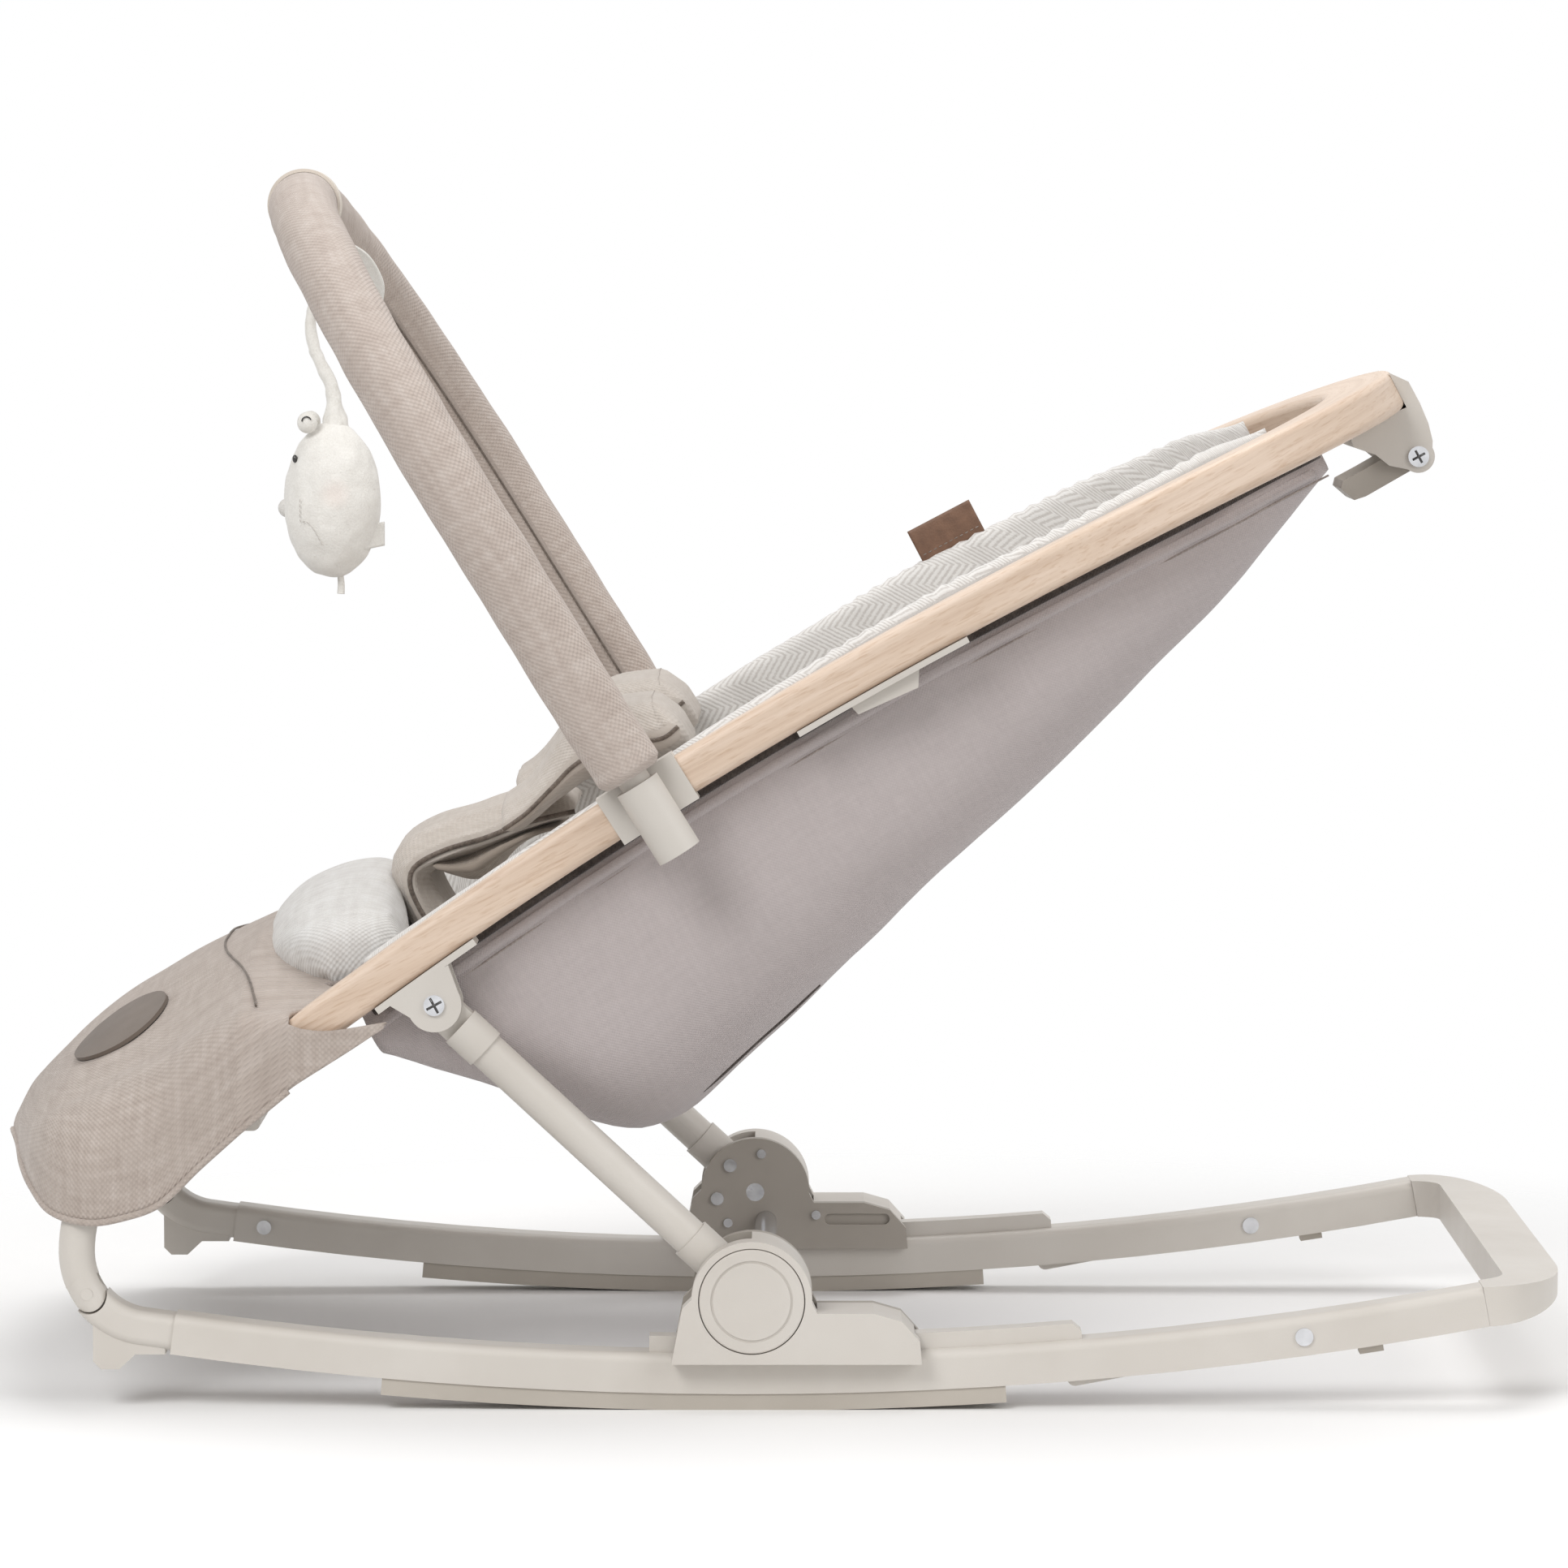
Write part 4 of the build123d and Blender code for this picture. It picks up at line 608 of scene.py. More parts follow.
shift(sling, sling_fold)
bake(sling, "SOLIDIFY", thickness=SLING_CLOTH, offset=0.0)
outward(sling)
finish_piece(sling, "seat", "sling_taupe", sling_cloth, "sling")
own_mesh(sling)

# Corded hem, groove with a dark cord of painted shadow under the wood, and seam along both rims of the sling,
# and the closure low on the near side, a dark cord in the same cloth
HEM_FRONT, HEM_BACK, GROOVE_BACK = -0.262, 0.283, 0.29
HEM_DROP, GROOVE_DROP, SEAM_DROP = 0.031, 0.0236, 0.0352
CLOSURE_FRONT, CLOSURE_BACK, CLOSURE_IN, CLOSURE_UP = -0.154, -0.06, 0.044, 0.0031

def rim_line(sign, back, out, drop):
    return [seat(x, sign * (sling_half(x) + out), wood_z(x) - drop) for x in steps(HEM_FRONT, back, 120)]

closure = []
for x in steps(CLOSURE_FRONT, CLOSURE_BACK, 60):
    closure.append(seat(x, CLOSURE_IN - sling_half(x), CLOSURE_UP - table(SLING, x)[1]))
lines = [("sling_closure", closure, 0.0016, 8, shadow_and_closure_cloth)]
for side, sign in SIDES:
    lines += [
        (f"hem_{side}", rim_line(sign, HEM_BACK, 0.0002, HEM_DROP), 0.0027, 10, sling_cloth),
        # dark cord of painted shadow in the groove under the wood
        (f"groove_{side}", rim_line(sign, GROOVE_BACK, -0.0022, GROOVE_DROP), 0.0022, 8, shadow_and_closure_cloth),
        (f"hem_seam_{side}", rim_line(sign, GROOVE_BACK, 0.0007, SEAM_DROP), 0.0006, 6, hem_cloth),
    ]
for name, points, radius, sides, mat in lines:
    line = finish_piece(tube(name, points, radius, sides), "seat", "sling_taupe", mat)
    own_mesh(line)

# Padded liner: a thick rim above the wood, drawn in by sewn channels
PAD_WALL, PAD_INSET, PAD_FRONT, PAD_BACK = 0.014, 0.0046, -0.255, 0.272
PAD_ROWS, PAD_END_ROWS, CHANNEL_SPACING = 110, 5, 0.075

def pad_rise(x):
    """Height of the rim over the wood."""
    return 0.001 + 0.004 * smooth(-0.1, 0.08, x) - 0.004 * smooth(0.235, PAD_BACK, x)

def pad_loop(x, wall):
    """Outline of the liner across one place: outer trough, rolled rim, inner trough, rolled rim."""
    top = wood_z(x) + pad_rise(x)
    rim, roll = top - PAD_WALL / 2, [pi * k / 8 for k in range(1, 8)]
    half, _, bottom, corner = trough_at(x, PAD_INSET, top)

    def rolled(middle):
        return [Vector((middle + wall / 2 * cos(a), rim + PAD_WALL / 2 * sin(a))) for a in roll]

    outer = trough_row(half, rim, bottom, corner, 60)
    inner = trough_row(half - wall, rim, bottom + wall, max(corner - wall, 0.006), 60)
    return outer + rolled(half - wall / 2) + list(reversed(inner)) + rolled(wall / 2 - half)

rows = []
for i, x in enumerate(steps(PAD_FRONT, PAD_BACK, PAD_ROWS)):
    end = min(min(i, PAD_ROWS - 1 - i) / PAD_END_ROWS, 1.0)
    full = sqrt(1 - (1 - end) ** 2)
    rows.append([seat(x, p.x, p.y) for p in pad_loop(x, PAD_WALL * (0.25 + 0.75 * full))])
pad = outward(grid_object("seat_pad_quilt", rows, closed=True, caps=True))

def pad_move(p):
    """Gathered rim, sewn channels inside and a soft unevenness."""
    x, z = seat_xz(p)
    above = smooth(-0.012, 0.004, z - wood_z(x))
    inside = 1.0 - above
    channel = exp(-(((x + 4 * CHANNEL_SPACING) % CHANNEL_SPACING - CHANNEL_SPACING / 2) / 0.006) ** 2)
    gather = smooth(-0.05, 0.06, x) * (1 - smooth(0.22, 0.26, x))
    puffing = 0.0008 * sin(2 * pi * x / 0.0105 + 2.5 * noise.noise(p * 15)) * above * gather
    return puffing - 0.0024 * channel * inside + 0.0012 * noise.noise(p * 19) - 0.0004

shift(pad, pad_move)
finish_piece(pad, "seat", "pad_light", pad_cloth, "seat_pad")
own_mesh(pad)

# Leg cushion: a swollen dome with piping round its lower edge;
# each row is length, share of the half width, lower edge, shoulder, top
CUSHION_HALF, CUSHION_FRONT, CUSHION_BACK, CUSHION_SHRINK = 0.147, -0.309, -0.236, 0.003
CUSHION = [
    (CUSHION_FRONT, 0.46, -0.002, 0.012, 0.017), (-0.3, 0.72, -0.012, 0.016, 0.025),
    (-0.283, 0.93, -0.02, 0.019, 0.031), (-0.264, 1.0, -0.025, 0.017, 0.03),
    (-0.248, 1.0, -0.028, 0.012, 0.025), (CUSHION_BACK, 0.94, -0.03, 0.004, 0.016),
]

def arch_row(half, low, shoulder, top, corner, count, closed):
    """Points over an arch from lower side to lower side, as (y, z)."""
    flat, z = half - corner, shoulder - corner
    pts = [Vector((-half, low)), *quarter(-flat, z, corner, pi, -pi / 2, 8)]
    for k in range(1, 24):
        y = 2 * flat * k / 24 - flat
        pts.append(Vector((y, shoulder + (top - shoulder) * (1 - (y / flat) ** 2))))
    pts += [*quarter(flat, z, corner, pi / 2, -pi / 2, 8), Vector((half, low))]
    return spread(pts, count, closed)

rows = []
for x in steps(CUSHION_FRONT, CUSHION_BACK, 34):
    share, low, shoulder, top = table(CUSHION, x)
    half, low = CUSHION_HALF * share - CUSHION_SHRINK, low + CUSHION_SHRINK
    shoulder, top = shoulder - CUSHION_SHRINK, top - CUSHION_SHRINK
    loop = arch_row(half, low, shoulder, top, 0.55 * (shoulder - low), 90, True)
    rows.append([seat(x, p.x, p.y) for p in loop])
cushion = outward(grid_object("leg_cushion_pad", rows, closed=True, caps=True))
puff(cushion, 4.0, 0.004, 0.005)
shift(cushion, lambda p: 0.0006 * noise.noise(p * 34))
finish_piece(cushion, "seat", "pad_light", cushion_cloth, "leg_cushion")
edge = []
for x in steps(CUSHION_FRONT, CUSHION_BACK - 0.002, 60):
    share, low, shoulder, top = table(CUSHION, x)
    edge.append(seat(x, -CUSHION_HALF * share - 0.0004, low + 0.16 * (shoulder - low)))
front_half = CUSHION_HALF * CUSHION[0][1]
front = [seat(CUSHION_FRONT - 0.0006, front_half * (k / 12 - 1), 0.0002) for k in range(1, 24)]
ring = list(reversed(edge)) + front + [Vector((p.x, -p.y, p.z)) for p in edge]
piping = tube("leg_cushion_piping", spread(ring, 150), 0.0016, 8)
finish_piece(piping, "seat", "pad_light", hem_cloth)

# Foot cover: a fabric shell with a bound lower edge, a seam round its mouth and rear cheeks;
# each row is length, share of the half width, lower edge, shoulder, top, corner radius
BOOT_HALF, BOOT_NOSE, BOOT_REAR, BOOT_POINTS = 0.1969, -0.3985, -0.266, 141
BOOT_CLOTH, BOOT_FLAT_LENGTH = 0.0024, 0.62
BOOT = [
    (BOOT_NOSE, 0.12, 0.118, 0.1215, 0.1245, 0.003), (-0.391, 0.33, 0.116, 0.1275, 0.139, 0.01),
    (-0.3835, 0.58, 0.113, 0.1315, 0.1475, 0.017), (-0.374, 0.8, 0.108, 0.1375, 0.157, 0.027),
    (-0.361, 0.94, 0.0985, 0.146, 0.17, 0.04), (-0.341, 1.0, 0.0945, 0.156, 0.186, 0.046),
    (-0.323, 1.0, 0.097, 0.166, 0.197, 0.046), (-0.305, 1.0, 0.104, 0.176, 0.208, 0.042),
    (-0.286, 1.0, 0.122, 0.1885, 0.218, 0.032), (BOOT_REAR, 1.0, 0.14, 0.2, 0.227, 0.022),
]

def boot_row(x, grow=0.0):
    share, low, shoulder, top, corner = table(BOOT, x)
    row = arch_row(BOOT_HALF * share + grow, low, shoulder + grow, top + grow, corner, BOOT_POINTS, False)
    return [Vector((x, p.x, p.y)) for p in row]

def nose_row(f, low=0.112, tuck=0.0065):
    """Row of the front below the nose, tucked in towards the lower edge."""
    x = BOOT_NOSE + tuck * (1 - f) ** 2
    return [Vector((x, p.y, low + (p.z - low) * f)) for p in boot_row(BOOT_NOSE)]

def rear_row(f, reach=0.025):
    """Row behind the mouth's seam: along the loop at the sides, over the cushion between."""
    low, shoulder, top, corner = BOOT[-1][2:]
    arch = (BOOT_HALF, low + 0.0205 * f, shoulder - 0.0035 * f, top, corner - 0.018 * f)
    row, step = [], reach * f
    for p in arch_row(*arch, BOOT_POINTS, False):
        y = abs(p.x)
        over = smooth(0.02, 0.14, y)
        flap = smooth(0.06, 0.11, y) * (1 - smooth(0.165, 0.188, y))
        dx = step * (0.3 + 0.7 * over + 0.9 * flap)
        row.append(Vector((BOOT_REAR + dx, p.x, p.y + step * (0.12 * (1 - over) - 0.1 * flap))))
    return row

rows = [nose_row(k / 7) for k in range(7)]
rows += [boot_row(BOOT_NOSE + (BOOT_REAR - BOOT_NOSE) * (i / 79) ** 1.3) for i in range(80)]
rows += [rear_row(k / 8) for k in range(1, 9)]
mouth = [p.copy() for p in rows[-1]]
boot = grid_object("boot_cloth", rows)
layer = boot.data.uv_layers[0].data
weave_at = {loop.vertex_index: layer[loop.index].uv.copy() for loop in boot.data.loops}
mouth_start = (len(rows) - 1) * len(mouth)

# Cheeks: the sides of the mouth drawn out to points under the wooden loop, as (x, z)
CHEEK_LOW = [(-0.2355, 0.1645), (-0.22, 0.1743), (-0.205, 0.1838), (-0.1937, 0.1912)]
CHEEK_HIGH = [(-0.234, 0.1915), (-0.222, 0.1905), (-0.206, 0.1925), (-0.1925, 0.1945)]
CHEEK_ROWS = 30

def boot_cheek(sign):
    side = [k for k, p in enumerate(mouth) if p.y * sign > BOOT_HALF - 0.0003]
    side.sort(key=lambda k: mouth[k].z)
    foot, head = mouth[side[0]], mouth[side[-1]]
    low_line = curve_through([(foot.x, foot.z)] + CHEEK_LOW, CHEEK_ROWS)
    high_line = curve_through([(head.x, head.z)] + CHEEK_HIGH, CHEEK_ROWS)
    verts, faces, uvs = [], [], []
    for low, high in zip(low_line, high_line):
        for k in side:
            p = mouth[k]
            q = low.lerp(high, (p.z - foot.z) / (head.z - foot.z))
            verts.append(Vector((q.x, p.y - sign * 0.004 * smooth(-0.215, -0.193, q.x), q.y)))
            uvs.append(weave_at[mouth_start + k] + Vector((q.x - p.x, -sign * (q.y - p.z))))
    n = len(side)
    for r in range(CHEEK_ROWS - 1):
        for k in range(n - 1):
            faces.append((r * n + k, r * n + k + 1, (r + 1) * n + k + 1, (r + 1) * n + k))
    return mesh_object("boot_cheek", verts, faces, uvs)

join(boot, *(boot_cheek(sign) for side, sign in SIDES))
shift(outward(boot, 0.00002), lambda p: 0.0008 * noise.noise(p * 13) + 0.0004 * noise.noise(p * 38))
bake(boot, "SOLIDIFY", thickness=BOOT_CLOTH, offset=-1.0)
on_seat(boot, boot_weave, "boot")
lip = [r[0] for r in reversed(rows)] + rows[0][1:-1] + [r[-1] for r in rows]
seam = []
for y in steps(-0.187, 0.187, 91):
    x = -0.2858 + 0.0275 * smooth(0.03, 0.19, abs(y))
    row = boot_row(min(x, BOOT_REAR), 0.0004)
    p = min(row[20:121], key=lambda q: abs(q.y - y))
    seam.append(Vector((x, p.y, p.z + 0.0003)))
for name, points, radius, sides, mat in (
    ("boot_lip", spread(lip, 260), 0.0017, 8, boot_weave),
    ("boot_mouth", spread(mouth[30:-30], 200), 0.0013, 8, boot_weave),
    ("boot_seam", curve_through(seam[::6], 140), 0.0006, 6, piping_cloth),
):
    on_seat(tube(name, points, radius, sides), mat)

# Sewn seams: stitches repeated along a line by geometry nodes
def stitch_group():
    group = bpy.data.node_groups.new("stitch_row", "GeometryNodeTree")
    numbers = [(label, "Float") for label in ("Spacing", "Length", "Thickness")]
    for label, kind in (("Geometry", "Geometry"), *numbers, ("Material", "Material")):
        group.interface.new_socket(label, in_out="INPUT", socket_type=f"NodeSocket{kind}")
    group.interface.new_socket("Geometry", in_out="OUTPUT", socket_type="NodeSocketGeometry")
    add, link = group.nodes.new, group.links.new
    start, end = add("NodeGroupInput"), add("NodeGroupOutput")
    to_curve, to_points = add("GeometryNodeMeshToCurve"), add("GeometryNodeCurveToPoints")
    to_points.mode = "LENGTH"
    capsule = add("GeometryNodeMeshIcoSphere")
    capsule.inputs["Subdivisions"].default_value = 2
    size, place = add("ShaderNodeCombineXYZ"), add("GeometryNodeInstanceOnPoints")
    real, colour = add("GeometryNodeRealizeInstances"), add("GeometryNodeSetMaterial")
    link(start.outputs["Geometry"], to_curve.inputs[0])
    link(to_curve.outputs[0], to_points.inputs["Curve"])
    link(start.outputs["Spacing"], to_points.inputs["Length"])
    capsule.inputs["Radius"].default_value = 0.5
    link(start.outputs["Thickness"], size.inputs[0])
    link(start.outputs["Thickness"], size.inputs[1])
    link(start.outputs["Length"], size.inputs[2])
    link(to_points.outputs["Points"], place.inputs["Points"])
    link(capsule.outputs["Mesh"], place.inputs["Instance"])
    link(to_points.outputs["Rotation"], place.inputs["Rotation"])
    link(size.outputs[0], place.inputs["Scale"])
    link(place.outputs[0], real.inputs[0])
    link(real.outputs[0], colour.inputs["Geometry"])
    link(start.outputs["Material"], colour.inputs["Material"])
    link(colour.outputs[0], end.inputs[0])
    return group

STITCH = stitch_group()

def stitches(name, points, body, slot, mat, spacing, length, thickness):
    """A row of stitches along points, as one plain mesh."""
    mesh = bpy.data.meshes.new(name)
    mesh.from_pydata([tuple(p) for p in points], [(i, i + 1) for i in range(len(points) - 1)], [])
    obj = bpy.data.objects.new(name, mesh)
    collection.objects.link(obj)
    mod = obj.modifiers.new("rows", "NODES")
    mod.node_group = STITCH
    values = {"Spacing": spacing, "Length": length, "Thickness": thickness, "Material": mat}
    for item in STITCH.interface.items_tree:
        if item.in_out == "INPUT" and item.name in values:
            mod[item.identifier] = values[item.name]
    bake(obj)
    return finish_piece(obj, body, slot, mat)

# Harness: puffed strap and wings with dark piping on their edges
def band_object(name, points, thickness, y_low, y_high, crown=0.0, count=40):
    """Padded band across y along a line of (x, z); thickness is a function of the share along."""
    line = curve_through(points, 56)
    rows = []
    for f in steps(0, 1, count):
        y = y_low + (y_high - y_low) * f
        edge = min(f, 1 - f) * (y_high - y_low)
        full = 0.3 + 0.7 * smooth(0.0, 0.022, edge) ** 0.7
        lower, upper = [], []
        for k, p in enumerate(line):
            a, b = line[max(k - 1, 0)], line[min(k + 1, len(line) - 1)]
            along = (b - a).normalized()
            normal = Vector((-along.y, along.x))
            share = k / (len(line) - 1)
            half = thickness(share) / 2 * full
            tip = sqrt(max(1 - max(abs(share - 0.5) * 2 - 0.9, 0) ** 2 / 0.01, 0.03))
            lift = Vector((0, crown * (1 - (2 * f - 1) ** 2)))
            upper.append(p + normal * half * tip + lift)
            lower.append(p - normal * half * tip + lift)
        rows.append([Vector((p.x, y, p.y)) for p in upper + list(reversed(lower))])
    obj = outward(grid_object(name, rows, closed=True, caps=True))
    shift(obj, lambda p: 0.0009 * noise.noise(p * 40))
    return obj, line

def band_piping(name, line, y, radius):
    points = [Vector((p.x, y, p.y)) for p in line]
    on_seat(tube(name, points, radius, 8), piping_cloth)

CROTCH_HALF, WAIST_IN, WAIST_OUT, PIPING_OUT = 0.055, 0.03, 0.1515, 0.0002
CROTCH = [
    (-0.1484, 0.1766), (-0.162, 0.203), (-0.174, 0.222), (-0.184, 0.238), (-0.1885, 0.2505),
    (-0.185, 0.2595), (-0.17, 0.2675), (-0.15, 0.2735), (-0.13, 0.281), (-0.103, 0.2875),
]
UNDER = [
    (-0.176, 0.259), (-0.166, 0.2575), (-0.154, 0.259),
    (-0.14, 0.268), (-0.125, 0.2755), (-0.108, 0.28),
]
WAIST = [
    (-0.136, 0.2865), (-0.124, 0.295), (-0.111, 0.308), (-0.1, 0.319),
    (-0.085, 0.3275), (-0.07, 0.3305), (-0.056, 0.3325), (-0.048, 0.3385),
]
crotch, line = band_object(
    "crotch_pad", CROTCH, lambda f: 0.021 - 0.007 * smooth(0.75, 1.0, f), -CROTCH_HALF, CROTCH_HALF, 0.004
)
on_seat(crotch, harness_cloth, "crotch_strap")
for side, sign in SIDES:
    band_piping(f"crotch_piping_{side}", line, sign * (CROTCH_HALF + PIPING_OUT), 0.0013)
# the strap's under layer; its darker brown-beige is painted shade beneath the strap
under, line = band_object(
    "crotch_lining", UNDER, lambda f: 0.006 + 0.011 * exp(-((f - 0.36) / 0.22) ** 2), -0.0545, 0.05
)
on_seat(under, under_layer_shade)
for side, sign in SIDES:
    low, high = sorted((sign * WAIST_IN, sign * WAIST_OUT))
    wing, line = band_object(
        f"waist_pad_{side}", WAIST, lambda f: 0.016 + 0.017 * smooth(0.2, 0.7, f), low, high, 0.003
    )
    on_seat(wing, harness_cloth, f"waist_strap_{side}")
    band_piping(f"waist_piping_inner_{side}", line, sign * (WAIST_IN - PIPING_OUT), 0.0011)
    band_piping(f"waist_piping_outer_{side}", line, sign * (WAIST_OUT + PIPING_OUT), 0.0011)

# Leather tab: a folded strip with a stitched end
TAB_X, TAB_Y, TAB_HALF, TAB_HEIGHT, TAB_THICK = 0.104, 0.152, 0.019, 0.0098, 0.0011
tab_low = wood_z(TAB_X) + 0.0069
rows = []
for x in steps(TAB_X - TAB_HALF, TAB_X + TAB_HALF, 30):
    bulge = TAB_THICK * (1 + 0.25 * sin(9 * x))
    loop = []
    for a in circle(28):
        z = tab_low + 0.006 + TAB_HEIGHT * max(-1, min(1, 1.35 * sin(a)))
        loop.append(seat(x, TAB_Y + bulge * cos(a) * 1.1, z))
    rows.append(loop)
tab = outward(grid_object("label_tab_leather", rows, closed=True, caps=True))
finish_piece(tab, "seat", "leather_brown", tab_leather, "label_tab")
stitch_line = [seat(x, TAB_Y - 0.0014, tab_low + 0.0005) for x in steps(TAB_X - 0.016, TAB_X + 0.016, 21)]
stitches("label_tab_stitches", stitch_line, "seat", "leather_brown", thread, 0.0032, 0.0022, 0.0006)

# Crossed recesses in the screw heads on both sides, drawn as dark slits of painted shade
def recess(name, node, radius, turn=0.5, proud=0.00015):
    low, high = (Vector(corner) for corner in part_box(node))
    middle = (low + high) / 2
    for side, y in (("left", low.y - proud), ("right", high.y + proud)):
        middle.y = y
        for tag, a in (("a", turn), ("b", turn + pi / 2)):
            arm = Vector((cos(a), 0, sin(a))) * radius
            slit = tube(f"{name}_{side}_{tag}", [middle - arm, middle, middle + arm], 0.0007, 6)
            # the slit's dark colour is painted shade in the recess
            finish_piece(slit, "seat", "steel", bead_dark_and_recess_shade)

recess("leg_bolt_recess", "leg_pivot_bolts", 0.0042)
recess("latch_pin_recess", "latch_pin", 0.0036)

# Toy bar cover: a padded sleeve with soft wrinkles and a seam along its inside
BAR_X, BAR_Z, LEAN = -0.0675, 0.314, radians(31.8)
BAR_UP = Vector((-sin(LEAN), 0, cos(LEAN)))
BAR_REACH, BAR_R, BAR_START, BAR_LENGTH, CORE_R = 0.336, 0.0173, 0.0045, 0.908, 0.008
bar_low, bar_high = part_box("toy_bar_core")
BAR_Y = (bar_high[1] - bar_low[1]) / 2 - CORE_R
BEND_UP = BAR_REACH - BAR_Y

def bar_point(y, up):
    return Vector((BAR_X, y, BAR_Z)) + BAR_UP * up

def bar_path():
    straight = [BAR_START + (BEND_UP - BAR_START) * k / 24 for k in range(24)]
    bend = [pi * k / 72 for k in range(73)]
    pts = [bar_point(-BAR_Y, up) for up in straight]
    pts += [bar_point(-BAR_Y * cos(a), BEND_UP + BAR_Y * sin(a)) for a in bend]
    pts += [bar_point(BAR_Y, up) for up in reversed(straight)]
    return pts

def bar_radius(f):
    d = min(f, 1 - f) * BAR_LENGTH
    cuff = 1.0 - 0.02 * exp(-((d - 0.012) / 0.0025) ** 2)
    rim = 1 - 0.16 * max(1 - d / 0.0025, 0) ** 2
    return BAR_R * cuff * rim * (1 + 0.004 * sin(190 * f))

def bar_inward(p):
    """Direction from a point of the bar's line to the inside of its arch."""
    if (p - bar_point(0, 0)).dot(BAR_UP) < BEND_UP:
        return Vector((0, -1 if p.y > 0 else 1, 0))
    return (bar_point(0, BEND_UP) - p).normalized()

bar_line = spread(bar_path(), 260)
sleeve = tube("toy_bar_sleeve", bar_line, bar_radius, 40)
shift(sleeve, lambda p: 0.0005 * noise.noise(p * 45) + 0.0004 * noise.noise(p * 18))
finish_piece(sleeve, "toy_bar", "melange_beige", melange, "toy_bar_cover")
inner_seam = [p + bar_inward(p) * (BAR_R + 0.0002) for p in bar_line[4:-4]]
finish_piece(tube("toy_bar_seam", inner_seam, 0.0007, 6), "toy_bar", "melange_beige", piping_cloth)

# Toy loop: a white band round the bar with a ribbon tail behind it, its line as (x, z)
BAND_HALF, BAND_PROUD, BAND_CLOTH = 0.008, 0.0016, 0.0014
TAIL_WIDTH, TAIL_Y, TAIL_CLOTH = 0.013, 0.0062, 0.0016
TAIL = [
    (-0.235, 0.586), (-0.225, 0.5815), (-0.2125, 0.574), (-0.2055, 0.563),
    (-0.204, 0.554), (-0.2075, 0.542), (-0.215, 0.534),
]
apex = bar_point(0, BAR_REACH)
rows = []
for f in steps(-1, 1, 15):
    radius = BAR_R + BAND_PROUD - 0.0007 * abs(f) ** 6
    rows.append([apex + Vector((radius * cos(a), BAND_HALF * f, radius * sin(a))) for a in circle(64)])
loop_band = grid_object("toy_loop_band", rows, closed=True)
bake(outward(loop_band), "SOLIDIFY", thickness=BAND_CLOTH, offset=-1.0)
for v in loop_band.data.vertices:
    v.co.z += (v.co.y ** 2) * -1.2
line = curve_through(TAIL, 40)
rows = []
for f in steps(0, 1, 11):
    y, inward = TAIL_Y + 0.0012 * sin(pi * f), TAIL_WIDTH * f
    rows.append([Vector((q.x - inward, y, q.y + 0.2 * inward)) for q in line])
ribbon = grid_object("toy_loop_tail", rows)
bake(outward(ribbon), "SOLIDIFY", thickness=TAIL_CLOTH, offset=0.0)
finish_piece(join(loop_band, ribbon), "toy_bar", "melange_beige", plush_white)

# Hanging toy: a plush animal with round ears, eyes, a muzzle and sewn arms
TOY, TOY_HALF, TOY_HEIGHT = Vector((-0.231, 0, 0.4465)), 0.0256, 0.0415
EAR, EAR_Y = (-0.2432, 0.4868), 0.0115
EYE, EYE_Y = (-0.2497, 0.468), 0.0118
MUZZLE = Vector((-0.2545, 0, 0.442))

def egg(name, centre, half, height, sharp=0.0, rings=36, sides=44):
    """Round body; sharp makes it wider below."""
    rows = []
    for i in range(rings + 1):
        z = cos(pi * i / rings)
        r = half * max(sin(pi * i / rings), 0.004) * (1 + sharp * -z)
        rows.append([centre + Vector((r * cos(a), r * sin(a), height * z)) for a in circle(sides)])
    return outward(grid_object(name, rows, closed=True, caps=True))

def toy_dent(p):
    """Fur, the seam down the middle and a dimple."""
    q = p - TOY
    seam = 0.001 * exp(-(q.y / 0.0014) ** 2)
    dimple = 0.0008 * exp(-((q.x + 0.001) ** 2 + (q.z - 0.004) ** 2) / 0.00004)
    return 0.0007 * noise.noise(p * 120) - seam - dimple

def arm_line(sign):
    """Line of an arm's seam over the side of the body."""
    points = []
    for f in steps(0, 1, 24):
        x = -0.0155 + 0.011 * f - 0.004 * sin(pi * f)
        z = -0.022 * f - 0.004 * sin(2 * pi * f)
        r = 0.0268 * sqrt(max(1 - (z / 0.0427) ** 2, 0.05))
        points.append(TOY + Vector((x, sign * sqrt(max(r * r - x * x, 1e-6)), z)))
    return points

